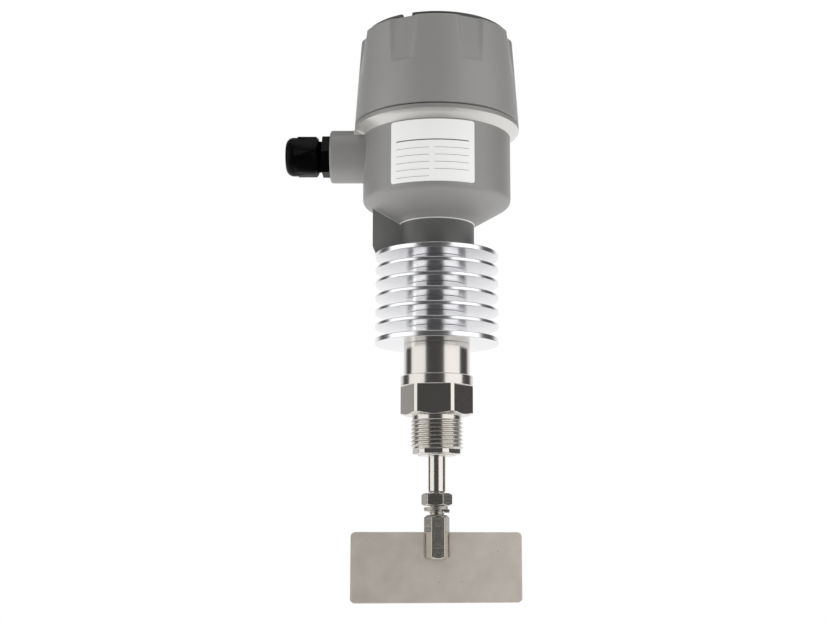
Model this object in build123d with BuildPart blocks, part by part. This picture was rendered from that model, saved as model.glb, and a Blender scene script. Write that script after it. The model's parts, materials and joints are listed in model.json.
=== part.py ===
import os
from math import asin, cos, degrees, radians, sin, tan

from build123d import *

# Rotary paddle level switch with a finned cooler, in millimetres.
# The origin is the centre of the hex's underside, which seats on the process socket. +Z runs up the shaft
# and the conduit entry points along -X.

# Clearances
thread_clearance = 0.15
turning_clearance = 0.06
fit_clearance = 0.03
seat_gap = 0.1
wall_gap = 0.3

# Process fitting
thread_radius = 16.625
thread_length = 18.45
thread_chamfer = 1.2
undercut_depth = 0.9
undercut_length = 3.0
hex_width = 41.0
hex_height = 18.3
hex_yaw = -5.0
hex_chamfer = 1.2
bar_radius = 23.0
ring_height = 6.4
ring_edge = 0.5
spigot_radius = 21.0
spigot_height = 20.3
fitting_tenon_radius = 15.0
fitting_tenon_length = 14.0
fitting_bore_radius = 8.0

# Shaft, hub and paddle
shaft_radius = 5.5
journal_radius = 5.0
shaft_thread_radius = 4.9
shaft_edge = 0.8
rod_below_nut = 23.25
nut_width = 17.0
nut_height = 7.8
nut_chamfer = 1.1
nut_yaw = -6.5
washer_outer_radius = 8.05
washer_thickness = 2.1
washer_split = 14.0
washer_split_angle = -25.0
hub_width = 14.0
hub_length = 27.0
hub_chamfer = 1.6
hub_thread_depth = 10.0
washer_to_hub = 1.4
paddle_width = 107.5
paddle_height = 43.3
paddle_thickness = 2.0
paddle_corner = 3.0
paddle_below_hub_top = 10.4
paddle_yaw = 8.0
shaft_in_coupling = 16.8

# Seal retainer, lip seal and bearings
retainer_bar_radius = 15.2
retainer_hex_width = 28.3
retainer_hex_height = 2.7
retainer_dome_height = 1.2
retainer_thread_radius = 12.0
retainer_thread_length = 10.0
retainer_pin_radius = 0.8
retainer_pin_circle = 10.4
retainer_face_radius = 11.7
retainer_yaw = 22.6
retainer_edge = 0.5
retainer_bore_gap = 0.3
seal_height = 7.0
seal_wall = 1.6
lip_width = 0.6
lip_height = 6.0
lower_bearing_radius = 11.0
lower_bearing_height = 6.0
upper_bearing_radius = 13.0
upper_bearing_height = 8.0
bearing_wall = 1.8
shield_thickness = 0.5
circlip_thickness = 1.0
circlip_groove_depth = 0.8
circlip_reach = 1.6
circlip_opening = 9.0
circlip_ear_radius = 2.0
circlip_ear_hole = 0.8
circlip_ear_angle = 28.0
land_above_circlip = 0.8

# Finned cooler
fin_count = 7
fin_pitch = 9.2
fin_radius = 39.4
fin_thickness = 2.4
top_fin_thickness = 3.3
bottom_fin_thickness = 3.6
fin_edge = 0.4
core_radius = 19.75
cooler_bore_radius = 9.0
cooler_tenon_radius = 18.0
cooler_tenon_length = 14.5

# Housing
neck_radius = 24.1
neck_height = 19.0
body_radius = 47.8
body_height = 43.6
body_edge = 5.0
cone_angle = 30.7
casting_wall = 4.8
flare_height = 4.9
flare_blend = 1.5
collar_step = 5.8
collar_height = 3.2
rim_step = 7.0
rim_height = 16.4
rim_edge = 0.8
rib_thickness = 10.0
rib_depth = 17.1
rib_foot_gap = 0.4
rib_foot_chamfer = (2.3, 4.8)
boss_radius = 17.1
boss_length = 21.3
boss_below_flare = 11.47
boss_edge = 1.6
boss_blend = 1.2
pillar_radius = 4.5
pillar_inset = 7.0
pillar_angles = (45, 135, 225, 315)
pillar_thread_radius = 2.0
pillar_thread_depth = 12.0
earth_angle = 225
neck_wall = 1.6
label_width = 55.0
label_height = 39.6
label_yaw = -3.6
label_thickness = 0.4
label_corner = 1.6
label_drop = 0.8

# Cable gland
gland_thread_radius = 10.0
gland_thread_length = 9.0
gland_hex_width = 24.0
gland_collar_length = 5.3
gland_groove_length = 2.6
gland_cap_length = 21.1
gland_hex_length = 13.3
gland_dome_step = 0.6
gland_dome_edge = 5.0
gland_corner_cut = 0.4
gland_mouth_radius = 6.6
gland_neck_radius = 10.3
gland_neck_length = 11.8
gland_body_bore = 7.3
gland_seal_tail = 3.0
gland_seal_cone = 2.6
gland_head_inset = 0.9
cable_radius = 5.0
o_ring_radius = 0.85

# Cover
cover_height = 59.6
cover_step = 0.1
cover_taper = 3.9
cover_edge = 3.0
skirt_chamfer = 0.8
land_width = 3.0
crown_height = 2.4
crown_wall = 3.0
crown_slot_width = 6.5
crown_slot_reach = 4.0
cover_wall = 6.1
cover_roof = 5.0
cover_roof_blend = 4.0
thread_relief = 2.0
seam_gap = 0.3
seal_width = 2.4
seal_depth = 2.0
seal_corner = 0.6
seal_shoulder = 1.4
grip_count = 7
grip_floor_width = 12.8
grip_height = 29.5
grip_top_depth = 2.8
grip_foot_depth = 0.6
grip_corner = 2.0
grip_reach = 12.0

# Motor unit
chassis_lift = 15.13
chassis_gap = 1.5
sheet = 2.0
chassis_screw_radius = 2.0
chassis_hole_radius = 2.2
chassis_screw_head = 4.0
chassis_screw_length = 11.8
countersink = 1.8
earth_washer = (9.0, 1.2)
earth_head = (3.6, 2.4)
slot_width = 0.9
slot_depth = 0.8
bush_radius = 14.0
bush_flange_radius = 17.0
bush_flange = 1.5
hub_tube_radius = 12.0
hub_tube_bore = 8.0
hub_tube_length = 7.2
bush_below = 0.6
swing_clip_gap = 0.3
swing_clip_depth = 0.6
swing_clip_reach = 2.2
swing_gap = 0.2
swing_radius = 28.0
swing_angle = 10.0
gearbox_radius = 23.0
gearbox_height = 20.3
gearbox_edge = 1.2
ear_size = (12.0, 7.0, 3.0)
ear_screw_angle = 150.0
ear_screw_radius = 1.25
ear_screw_head = (2.4, 1.8)
output_depth = 8.0
motor_radius = 22.5
motor_height = 28.0
motor_band = (2.0, 0.8)
motor_edge = 1.6
motor_cap = (9.0, 2.0)
motor_shaft_radius = 4.0
motor_shaft_gap = 0.5
coupling_radius = 11.0
coupling_length = 27.0
coupling_gap = 1.0
coupling_edge = 0.8
coupling_pin_radius = 1.5
coupling_pin_short = 0.4
grub_screw_radius = 2.0
grub_screw_drop = 6.0
grub_socket = (1.0, 2.0)
gearbox_screw_circle = 25.6
flag_outer = 35.4
flag_inner = 28.6
flag_height = 40.0
flag_arm_width = 6.0
flag_root = 8.0
stop_pin_circle = 30.5
stop_pin_angle = -98.0
stop_pin_radius = 2.0
stop_pin_shoulder = 1.0
stop_slot_gap = 0.2
stop_lug = (10.0, 15.5)
spring_lug = (9.0, 8.0)
lug_corner = 2.0
stud_radius = 1.5
stud_head = 0.6
stud_end = 1.0
spring_lug_circle = 31.0
spring_lug_angle = 25.0
spring_post_circle = 36.0
spring_post_angle = -25.0
spring_radius = 2.5
spring_wire = 0.5
spring_above_chassis = 7.0

# Switches
switch_size = (10.0, 6.4, 20.0)
switch_face = 10.0
switch_inner = 28.5
switch_step = 22.0
switch_above_chassis = 4.0
lever_pivot_offset = 0.7
lever_pivot_height = 1.6
lever_length = 14.5
lever_width = 4.4
lever_thickness = 0.6
lever_gap = 0.3
lever_root_radius = 0.6
lever_pin_radius = 0.4
lever_pin_length = 0.7
plunger_height = 6.0
plunger_size = (1.4, 2.0, 1.6)
ear_block = (3.4, 0.8, 2.2)
switch_edge = 0.5
switch_hole_inset = 2.4
switch_hole_spread = 4.75
switch_hole_radius = 1.25
switch_screw_radius = 1.05
switch_screw_head = (1.9, 1.2)
tab_size = (3.4, 3.2, 0.5)
tab_inset = 2.6
bracket_sheet = 1.5
bracket_margin = 1.5
bracket_screw_radius = 1.5
bracket_screw_head = (2.6, 1.6)

# Terminal deck
standoff_width = 7.0
standoff_height = 62.0
standoff_inset = 4.0
standoff_angles = (65, 208, 295)
deck_gap = 2.0
deck_screw_radius = 1.5
deck_screw_head = (2.75, 2.0)
deck_screw_length = 9.0
deck_notch = 25.0
deck_notch_edge = 22.0
block_size = (48.0, 17.0, 14.0)
block_centre = (3.0, -13.0)
block_chamfer = 3.0
pole_count = 6
pole_pitch = 7.2
pole_size = 4.6
pole_floor = 2.5
pole_gap = 0.2
clamp_size = (9.0, 4.8)
clamp_wire_radius = 1.5
clamp_wire_level = 2.2
clamp_screw = (2.0, 1.8)
clamp_screw_radius = 1.2
clamp_screw_length = 1.6
clamp_thread_radius = 1.3

# Radii that follow from those sizes
undercut_radius = thread_radius - undercut_depth
collar_radius = body_radius + collar_step
rim_radius = collar_radius - rim_step
inner_radius = body_radius - casting_wall
rib_reach = neck_radius + rib_depth
boss_reach = body_radius + boss_length
pillar_circle = inner_radius - pillar_inset
chassis_radius = inner_radius - chassis_gap
standoff_circle = chassis_radius - standoff_inset
deck_radius = inner_radius - deck_gap
cover_skirt_radius = collar_radius - cover_step
cover_top_radius = cover_skirt_radius - cover_taper
crown_radius = cover_top_radius - land_width
cover_inner_radius = cover_top_radius - cover_wall
gland_dome_radius = gland_hex_width / 2 + gland_dome_step

# Levels along the shaft
thread_top = -undercut_length
thread_end = thread_top - thread_length
retainer_end = thread_end - retainer_hex_height - retainer_dome_height
nut_top = retainer_end - rod_below_nut
nut_end = nut_top - nut_height
washer_top = nut_end - seat_gap
washer_end = washer_top - 2 * washer_thickness
hub_top = washer_end - washer_to_hub
hub_end = hub_top - hub_length
paddle_top = hub_top - paddle_below_hub_top
hex_top = hex_height
ring_top = hex_top + ring_height
cooler_base = ring_top + spigot_height
cooler_top = cooler_base + bottom_fin_thickness + (fin_count - 1) * fin_pitch
tenon_top = cooler_top + cooler_tenon_length
retainer_nose = thread_end + retainer_thread_length
seal_base = retainer_nose + seat_gap
lower_bearing_base = seal_base + seal_height + seat_gap
lower_bearing_top = lower_bearing_base + lower_bearing_height
upper_circlip_base = tenon_top - circlip_thickness - land_above_circlip
upper_bearing_top = upper_circlip_base - fit_clearance
upper_bearing_base = upper_bearing_top - upper_bearing_height
cone_base = cooler_top + neck_height
cone_rise = (body_radius - neck_radius) * tan(radians(cone_angle))
body_base = cone_base + cone_rise
flare_base = body_base + body_height
collar_base = flare_base + flare_height
collar_top = collar_base + collar_height
rim_top = collar_top + rim_height
boss_level = flare_base - boss_below_flare
cover_base = collar_top + seam_gap
cover_top = cover_base + cover_height
chassis_base = body_base + chassis_lift
chassis_top = chassis_base + sheet
swing_base = chassis_top + bush_flange + swing_gap
swing_top = swing_base + sheet
gearbox_top = swing_top + gearbox_height
motor_top = gearbox_top + motor_height
coupling_top = swing_base - hub_tube_length - coupling_gap
coupling_base = coupling_top - coupling_length
shaft_top = coupling_base + shaft_in_coupling
deck_base = chassis_top + standoff_height
deck_top = deck_base + sheet
inner_cone_lift = casting_wall / cos(radians(cone_angle))


def on_circle(circle, angle):
    """The point of a circle about Z at this angle in degrees from +X."""
    return (circle * cos(radians(angle)), circle * sin(radians(angle)))


def cone_level(at_radius):
    """The height of the casting's outer cone at a distance from the shaft."""
    return cone_base + (at_radius - neck_radius) * tan(radians(cone_angle))


os.makedirs("parts", exist_ok=True)

# Process fitting: turned from round bar, with a milled hex between its collar and its male thread
tenon_top_of_fitting = cooler_base + fitting_tenon_length
bearing_seat_radius = lower_bearing_radius + fit_clearance
hex_chamfer_radius = bar_radius - 2 * hex_chamfer
with BuildPart() as process_fitting:
    with BuildSketch(Plane.XZ):
        with BuildLine():
            Polyline(
                (fitting_bore_radius, lower_bearing_top + seat_gap),
                (bearing_seat_radius, lower_bearing_top + seat_gap),
                (bearing_seat_radius, retainer_nose),
                (retainer_thread_radius, retainer_nose),
                (retainer_thread_radius, thread_end),
                (thread_radius - thread_chamfer, thread_end),
                (thread_radius, thread_end + thread_chamfer),
                (thread_radius, thread_top - thread_chamfer),
                (undercut_radius, thread_top),
                (undercut_radius, 0),
                (hex_chamfer_radius, 0),
                (bar_radius, hex_chamfer),
                (bar_radius, ring_top - ring_edge),
                (bar_radius - ring_edge, ring_top),
                (spigot_radius, ring_top),
                (spigot_radius, cooler_base),
                (fitting_tenon_radius, cooler_base),
                (fitting_tenon_radius, tenon_top_of_fitting),
                (fitting_bore_radius, tenon_top_of_fitting),
                close=True,
            )
        make_face()
    revolve(axis=Axis.Z)
    with BuildSketch():
        Circle(bar_radius + 2)
        RegularPolygon(hex_width / 2, 6, major_radius=False, rotation=30 + hex_yaw, mode=Mode.SUBTRACT)
    extrude(amount=hex_top, mode=Mode.SUBTRACT)
process_fitting.part.label = "process_fitting"
export_step(process_fitting.part, "parts/process_fitting.step")

# Seal retainer: nut with a male thread that closes the fitting's lower end
retainer_bore = shaft_radius + retainer_bore_gap
retainer_nose_radius = retainer_thread_radius - thread_clearance
retainer_shoulder = thread_end - retainer_hex_height
with BuildPart() as seal_retainer:
    with BuildSketch(Plane.XZ):
        with BuildLine():
            Polyline(
                (retainer_bore, retainer_nose),
                (retainer_nose_radius - retainer_edge, retainer_nose),
                (retainer_nose_radius, retainer_nose - retainer_edge),
                (retainer_nose_radius, thread_end),
                (retainer_bar_radius, thread_end),
                (retainer_bar_radius, retainer_shoulder),
                (retainer_face_radius + retainer_edge, retainer_end + retainer_edge),
                (retainer_face_radius, retainer_end),
                (retainer_bore, retainer_end),
                close=True,
            )
        make_face()
    revolve(axis=Axis.Z)
    with BuildSketch(Plane.XY.offset(retainer_end)):
        Circle(retainer_bar_radius + 2)
        with Locations(Rotation(0, 0, retainer_yaw)):
            RegularPolygon(retainer_hex_width / 2, 6, major_radius=False, mode=Mode.SUBTRACT)
    extrude(amount=thread_end - retainer_end, mode=Mode.SUBTRACT)
    with BuildSketch(Plane.XY.offset(retainer_end)):
        with PolarLocations(retainer_pin_circle, 2):
            Circle(retainer_pin_radius)
    extrude(amount=2 * retainer_dome_height, mode=Mode.SUBTRACT)
seal_retainer.part.label = "seal_retainer"
export_step(seal_retainer.part, "parts/seal_retainer.step")

# Lip seal: rubber on a stiffening ring, with the lip turned towards the process
lip_radius = shaft_radius + turning_clearance
seal_case_radius = lower_bearing_radius - fit_clearance
seal_top = seal_base + seal_height
with BuildPart() as shaft_seal:
    with BuildSketch(Plane.XZ):
        with BuildLine():
            Polyline(
                (lip_radius, seal_top - lip_height),
                (lip_radius + lip_width, seal_top - lip_height),
                (lip_radius + seal_wall, seal_top - seal_wall),
                (seal_case_radius - seal_wall, seal_top - seal_wall),
                (seal_case_radius - seal_wall, seal_base),
                (seal_case_radius, seal_base),
                (seal_case_radius, seal_top),
                (lip_radius + lip_width, seal_top),
                close=True,
            )
        make_face()
    revolve(axis=Axis.Z)
shaft_seal.part.label = "shaft_seal"
export_step(shaft_seal.part, "parts/shaft_seal.step")

# Shielded ball bearings: an outer race with its two shields, and an inner race
bearing_sizes = (
    ("lower_bearing", lower_bearing_radius, lower_bearing_base, lower_bearing_height),
    ("upper_bearing", upper_bearing_radius, upper_bearing_base, upper_bearing_height),
)
for bearing_name, outer_radius, base, height in bearing_sizes:
    inner_race_radius = journal_radius + bearing_wall
    outer_race_bore = outer_radius - bearing_wall
    with BuildPart() as outer_race:
        with BuildSketch(Plane.XZ):
            with Locations((0, base)):
                Rectangle(outer_radius, height, align=Align.MIN)
            with Locations((0, base + shield_thickness)):
                Rectangle(outer_race_bore, height - 2 * shield_thickness, align=Align.MIN, mode=Mode.SUBTRACT)
            with Locations((0, base)):
                Rectangle(inner_race_radius + wall_gap, height, align=Align.MIN, mode=Mode.SUBTRACT)
        revolve(axis=Axis.Z)
    outer_race.part.label = bearing_name + "_outer_race"
    export_step(outer_race.part, "parts/" + bearing_name + "_outer_race.step")
    with BuildPart() as inner_race:
        with BuildSketch(Plane.XY.offset(base)):
            Circle(inner_race_radius)
            Circle(journal_radius + fit_clearance, mode=Mode.SUBTRACT)
        extrude(amount=height)
    inner_race.part.label = bearing_name + "_inner_race"
    export_step(inner_race.part, "parts/" + bearing_name + "_inner_race.step")

# Circlips: one in the cooler's bore over the outer race, one on the shaft over the inner race
bore_groove_radius = upper_bearing_radius + circlip_groove_depth
shaft_groove_radius = journal_radius - circlip_groove_depth / 2
clip_height = circlip_thickness - 2 * fit_clearance
with BuildPart() as bearing_circlip:
    with BuildSketch(Plane.XY.offset(upper_circlip_base + fit_clearance)):
        Circle(bore_groove_radius - seat_gap)
        Circle(upper_bearing_radius - circlip_reach, mode=Mode.SUBTRACT)
        with Locations((upper_bearing_radius, 0)):
            Rectangle(upper_bearing_radius, circlip_opening, mode=Mode.SUBTRACT)
        for side in (1, -1):
            with Locations(on_circle(upper_bearing_radius - 1.5 * circlip_reach, side * circlip_ear_angle)):
                Circle(circlip_ear_radius)
                Circle(circlip_ear_hole, mode=Mode.SUBTRACT)
    extrude(amount=clip_height)
bearing_circlip.part.label = "bearing_circlip"
export_step(bearing_circlip.part, "parts/bearing_circlip.step")

with BuildPart() as shaft_circlip:
    with BuildSketch(Plane.XY.offset(upper_circlip_base + fit_clearance)):
        Circle(journal_radius + circlip_reach)
        Circle(shaft_groove_radius + fit_clearance, mode=Mode.SUBTRACT)
        with Locations((0, -journal_radius - 1)):
            Rectangle(1.5 * journal_radius, 2 * journal_radius, mode=Mode.SUBTRACT)
    extrude(amount=clip_height)
shaft_circlip.part.label = "shaft_circlip"
export_step(shaft_circlip.part, "parts/shaft_circlip.step")

# Drive shaft: stepped at the lower bearing, grooved for its circlip, cross-drilled for the coupling pin
pin_level = coupling_base + coupling_length / 4
rod_end = hub_top - hub_thread_depth
rod_blend = shaft_radius - shaft_thread_radius
with BuildPart() as drive_shaft:
    with BuildSketch(Plane.XZ):
        with BuildLine():
            Polyline(
                (0, rod_end),
                (shaft_thread_radius - shaft_edge, rod_end),
                (shaft_thread_radius, rod_end + shaft_edge),
                (shaft_thread_radius, nut_top + rod_blend),
                (shaft_radius, nut_top + 2 * rod_blend),
                (shaft_radius, lower_bearing_base - fit_clearance),
                (journal_radius, lower_bearing_base - fit_clearance),
                (journal_radius, upper_circlip_base),
                (shaft_groove_radius, upper_circlip_base),
                (shaft_groove_radius, upper_circlip_base + circlip_thickness),
                (journal_radius, upper_circlip_base + circlip_thickness),
                (journal_radius, shaft_top - shaft_edge),
                (journal_radius - shaft_edge, shaft_top),
                (0, shaft_top),
                close=True,
            )
        make_face()
    revolve(axis=Axis.Z)
    with BuildSketch(Plane.XZ.offset(-journal_radius - 1)):
        with Locations((0, pin_level)):
            Circle(coupling_pin_radius + fit_clearance)
    extrude(amount=2 * journal_radius + 2, mode=Mode.SUBTRACT)
drive_shaft.part.label = "drive_shaft"
export_step(drive_shaft.part, "parts/drive_shaft.step")

# Jam nut: hexagon with both faces chamfered
nut_corner = nut_width / 2 / cos(radians(30))
nut_face = nut_width / 2 - wall_gap
with BuildPart() as jam_nut:
    with BuildSketch(Plane.XY.offset(nut_end)):
        RegularPolygon(nut_width / 2, 6, major_radius=False, rotation=30 + nut_yaw)
    extrude(amount=nut_height)
    with BuildSketch(Plane.XZ):
        with BuildLine():
            Polyline(
                (0, nut_end),
                (nut_face, nut_end),
                (nut_corner, nut_end + nut_chamfer),
                (nut_corner, nut_top - nut_chamfer),
                (nut_face, nut_top),
                (0, nut_top),
                close=True,
            )
        make_face()
    revolve(axis=Axis.Z, mode=Mode.INTERSECT)
    with BuildSketch(Plane.XY.offset(nut_end)):
        Circle(shaft_thread_radius + seat_gap)
    extrude(amount=nut_height, mode=Mode.SUBTRACT)
jam_nut.part.label = "jam_nut"
export_step(jam_nut.part, "parts/jam_nut.step")

# Spring washer: one turn of a helix, split at the right
washer_bore = shaft_thread_radius + 2 * wall_gap
washer_middle = (washer_outer_radius + washer_bore) / 2
washer_turn = (360 - washer_split) / 360
with BuildPart() as spring_washer:
    with BuildLine() as washer_path:
        Helix(washer_thickness, washer_thickness * washer_turn, washer_middle)
    with BuildSketch(Plane.XZ):
        with Locations((washer_middle, 0)):
            Rectangle(washer_outer_radius - washer_bore, washer_thickness - seat_gap)
    sweep(path=washer_path.line, is_frenet=True)
washer_turned = spring_washer.part.rotate(Axis.Z, washer_split / 2 + washer_split_angle)
spring_washer_part = washer_turned.translate((0, 0, washer_end + washer_thickness / 2))
spring_washer_part.label = "spring_washer"
export_step(spring_washer_part, "parts/spring_washer.step")

# Paddle hub: hex bar, tapped from above and slotted from below for the blade
hub_corner = hub_width / 2 / cos(radians(30))
hub_face = hub_width / 2 - 2 * wall_gap
with BuildPart() as paddle_hub:
    with BuildSketch(Plane.XY.offset(hub_end)):
        RegularPolygon(hub_width / 2, 6, major_radius=False, rotation=30 + paddle_yaw)
    extrude(amount=hub_length)
    with BuildSketch(Plane.XZ):
        with BuildLine():
            Polyline(
                (0, hub_end),
                (hub_face, hub_end),
                (hub_corner, hub_end + hub_chamfer),
                (hub_corner, hub_top - hub_chamfer),
                (hub_face, hub_top),
                (0, hub_top),
                close=True,
            )
        make_face()
    revolve(axis=Axis.Z, mode=Mode.INTERSECT)
    with BuildSketch(Plane.XY.offset(hub_top)):
        Circle(shaft_thread_radius + seat_gap)
    extrude(amount=-hub_thread_depth - wall_gap, mode=Mode.SUBTRACT)
    with BuildSketch(Plane.XY.offset(hub_end)):
        Rectangle(3 * hub_width, paddle_thickness + 2 * fit_clearance, rotation=paddle_yaw)
    extrude(amount=paddle_top + fit_clearance - hub_end, mode=Mode.SUBTRACT)
paddle_hub.part.label = "paddle_hub"
export_step(paddle_hub.part, "parts/paddle_hub.step")

# Paddle blade: flat stainless plate with rounded corners
paddle_plane = Plane.XZ.rotated((0, 0, paddle_yaw)).offset(-paddle_thickness / 2)
with BuildPart() as paddle_blade:
    with BuildSketch(paddle_plane):
        with Locations((0, paddle_top - paddle_height / 2)):
            RectangleRounded(paddle_width, paddle_height, paddle_corner)
    extrude(amount=paddle_thickness)
paddle_blade.part.label = "paddle_blade"
export_step(paddle_blade.part, "parts/paddle_blade.step")

# Finned cooler: tube turned with seven fins, with a tenon that screws into the casting's neck
with BuildPart() as cooling_fins:
    with BuildSketch(Plane.XY.offset(cooler_base)):
        Circle(core_radius)
    extrude(amount=cooler_top - cooler_base)
    with BuildSketch(Plane.XY.offset(cooler_top)):
        Circle(cooler_tenon_radius - thread_clearance)
    extrude(amount=cooler_tenon_length)
    with BuildSketch(Plane.XZ):
        for fin in range(fin_count):
            thickness = {0: bottom_fin_thickness, fin_count - 1: top_fin_thickness}.get(fin, fin_thickness)
            fin_top = cooler_base + bottom_fin_thickness + fin * fin_pitch
            fin_under = fin_top - thickness
            with BuildLine():
                Polyline(
                    (core_radius - 1, fin_top),
                    (fin_radius - fin_edge, fin_top),
                    (fin_radius, fin_top - fin_edge),
                    (fin_radius, fin_under + fin_edge),
                    (fin_radius - fin_edge, fin_under),
                    (core_radius - 1, fin_under),
                    close=True,
                )
            make_face()
    revolve(axis=Axis.Z)
    with BuildSketch(Plane.XY.offset(cooler_base)):
        Circle(fitting_tenon_radius + thread_clearance)
    extrude(amount=fitting_tenon_length + 1, mode=Mode.SUBTRACT)
    with BuildSketch(Plane.XY.offset(cooler_base)):
        Circle(cooler_bore_radius)
    extrude(amount=tenon_top - cooler_base, mode=Mode.SUBTRACT)
    with BuildSketch(Plane.XY.offset(upper_bearing_base - seat_gap)):
        Circle(upper_bearing_radius + fit_clearance)
    extrude(amount=tenon_top - upper_bearing_base + 1, mode=Mode.SUBTRACT)
    with BuildSketch(Plane.XY.offset(upper_circlip_base)):
        Circle(bore_groove_radius)
    extrude(amount=circlip_thickness, mode=Mode.SUBTRACT)
cooling_fins.part.label = "cooling_fins"
export_step(cooling_fins.part, "parts/cooling_fins.step")

# Housing: one hollow casting with collar, rim, cone, neck, side rib, conduit boss and four inner pillars
neck_bore = cooler_tenon_radius - neck_wall
inner_cone_top = cone_level(inner_radius) + inner_cone_lift
inner_cone_base = cone_level(neck_bore) + inner_cone_lift
rib_foot = cooler_top + rib_foot_gap
rib_root = neck_radius - neck_wall
pillar_base = cone_level(pillar_circle + pillar_radius) + fit_clearance
ring_groove_radius = gland_thread_radius + 2 * o_ring_radius + seat_gap
with BuildPart() as housing:
    with BuildSketch(Plane.XZ):
        with BuildLine():
            FilletPolyline(
                (0, cooler_top),
                (neck_radius, cooler_top),
                (neck_radius, cone_base),
                (body_radius, body_base),
                (body_radius, flare_base),
                (collar_radius, collar_base),
                (collar_radius, collar_top),
                (rim_radius, collar_top),
                (rim_radius, rim_top - rim_edge),
                (rim_radius - rim_edge, rim_top),
                (0, rim_top),
                radius=[0, 0, 0, body_edge, flare_blend, 0.6, 0.4, 0, 0, 0, 0],
                close=True,
            )
        make_face()
    revolve(axis=Axis.Z)
    with BuildSketch(Plane.YZ.offset(-boss_reach)):
        with Locations((0, boss_level)):
            Circle(boss_radius)
    extrude(amount=boss_reach - inner_radius - 1)
    boss_edges = housing.edges(Select.LAST)
    boss_seam = [e for e in boss_edges if e.geom_type == GeomType.BSPLINE and e.center().X > 1 - boss_reach]
    fillet(boss_seam, boss_blend)
    boss_rim = housing.edges().filter_by(GeomType.CIRCLE).sort_by(Axis.X)[0]
    fillet(boss_rim, boss_edge)
    with BuildSketch(Plane.XZ.offset(-rib_thickness / 2)):
        with BuildLine():
            Polyline(
                (-rib_reach, cone_level(rib_reach) + neck_wall),
                (-rib_reach, rib_foot + rib_foot_chamfer[1]),
                (-rib_reach + rib_foot_chamfer[0], rib_foot),
                (-rib_root, rib_foot),
                (-rib_root, cone_level(neck_radius) + neck_wall),
                close=True,
            )
        make_face()
    extrude(amount=rib_thickness)
    with BuildSketch(Plane.XZ):
        with BuildLine():
            FilletPolyline(
                (0, inner_cone_base),
                (neck_bore, inner_cone_base),
                (inner_radius, inner_cone_top),
                (inner_radius, rim_top),
                (0, rim_top),
                radius=[0, 0, body_edge - 1, 0, 0],
                close=True,
            )
        make_face()
    revolve(axis=Axis.Z, mode=Mode.SUBTRACT)
    with BuildSketch(Plane.XY.offset(cooler_top)):
        Circle(neck_bore)
    extrude(amount=inner_cone_base - cooler_top, mode=Mode.SUBTRACT)
    with BuildSketch(Plane.XY.offset(cooler_top)):
        Circle(cooler_tenon_radius)
    extrude(amount=cooler_tenon_length + 1, mode=Mode.SUBTRACT)
    with BuildSketch(Plane.XY.offset(pillar_base)):
        for angle in pillar_angles:
            with Locations(on_circle(pillar_circle, angle)):
                Circle(pillar_radius)
    extrude(amount=chassis_base - pillar_base)
    with BuildSketch(Plane.XY.offset(chassis_base)):
        for angle in pillar_angles:
            with Locations(on_circle(pillar_circle, angle)):
                Circle(pillar_thread_radius)
    extrude(amount=-pillar_thread_depth, mode=Mode.SUBTRACT)
    with BuildSketch(Plane.YZ.offset(-boss_reach)):
        with Locations((0, boss_level)):
            Circle(gland_thread_radius)
    extrude(amount=boss_reach - inner_radius + casting_wall, mode=Mode.SUBTRACT)
    with BuildSketch(Plane.YZ.offset(-boss_reach)):
        with Locations((0, boss_level)):
            Circle(ring_groove_radius)
    extrude(amount=2 * o_ring_radius + seat_gap, mode=Mode.SUBTRACT)
housing.part.label = "housing"
export_step(housing.part, "parts/housing.step")

# Label plate: thin blank plate bent round the front of the housing
label_radius = body_radius + fit_clearance
label_top = flare_base - label_drop
half_angle = degrees(label_width / 2 / body_radius)
with BuildPart() as label_plate:
    with BuildSketch(Plane.XY.offset(label_top - label_height)):
        Circle(label_radius + label_thickness)
        Circle(label_radius, mode=Mode.SUBTRACT)
    extrude(amount=label_height)
    with BuildSketch(Plane.XZ.rotated((0, 0, label_yaw))):
        with Locations((0, label_top - label_height / 2)):
            RectangleRounded(2 * body_radius * sin(radians(half_angle)), label_height, label_corner)
    extrude(amount=boss_reach, mode=Mode.INTERSECT)
label_plate.part.label = "label_plate"
export_step(label_plate.part, "parts/label_plate.step")

# Cable gland body: male thread into the boss, fixed hex collar, and the threaded neck for the cap
collar_end = boss_reach + gland_collar_length
neck_end = collar_end + gland_neck_length
gland_corner = gland_hex_width / 2 / cos(radians(30))
with BuildPart() as gland_body:
    with BuildSketch(Plane.YZ.offset(-boss_reach)):
        with Locations((0, boss_level)):
            Circle(gland_thread_radius - thread_clearance)
    extrude(amount=gland_thread_length)
    with BuildSketch(Plane.YZ.offset(-collar_end)):
        with Locations((0, boss_level)):
            RegularPolygon(gland_hex_width / 2, 6, major_radius=False)
    extrude(amount=gland_collar_length)
    with BuildSketch(Plane.YZ.offset(-neck_end)):
        with Locations((0, boss_level)):
            Circle(gland_neck_radius - thread_clearance)
    extrude(amount=gland_neck_length)
    with BuildSketch(Plane.YZ.offset(-neck_end)):
        with Locations((0, boss_level)):
            Circle(gland_body_bore)
    extrude(amount=neck_end - boss_reach + gland_thread_length, mode=Mode.SUBTRACT)
gland_body.part.label = "gland_body"
export_step(gland_body.part, "parts/gland_body.step")

# O-ring under the gland's collar
gland_axis = Axis((0, 0, boss_level), (1, 0, 0))
o_ring_circle = gland_thread_radius + o_ring_radius + seat_gap
o_ring_place = (-boss_reach + o_ring_radius + seat_gap / 2, boss_level + o_ring_circle)
with BuildPart() as gland_o_ring:
    with BuildSketch(Plane.XZ):
        with Locations(o_ring_place):
            RegularPolygon(o_ring_radius - seat_gap / 2, 8)
    revolve(axis=gland_axis)
gland_o_ring.part.label = "gland_o_ring"
export_step(gland_o_ring.part, "parts/gland_o_ring.step")

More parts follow.
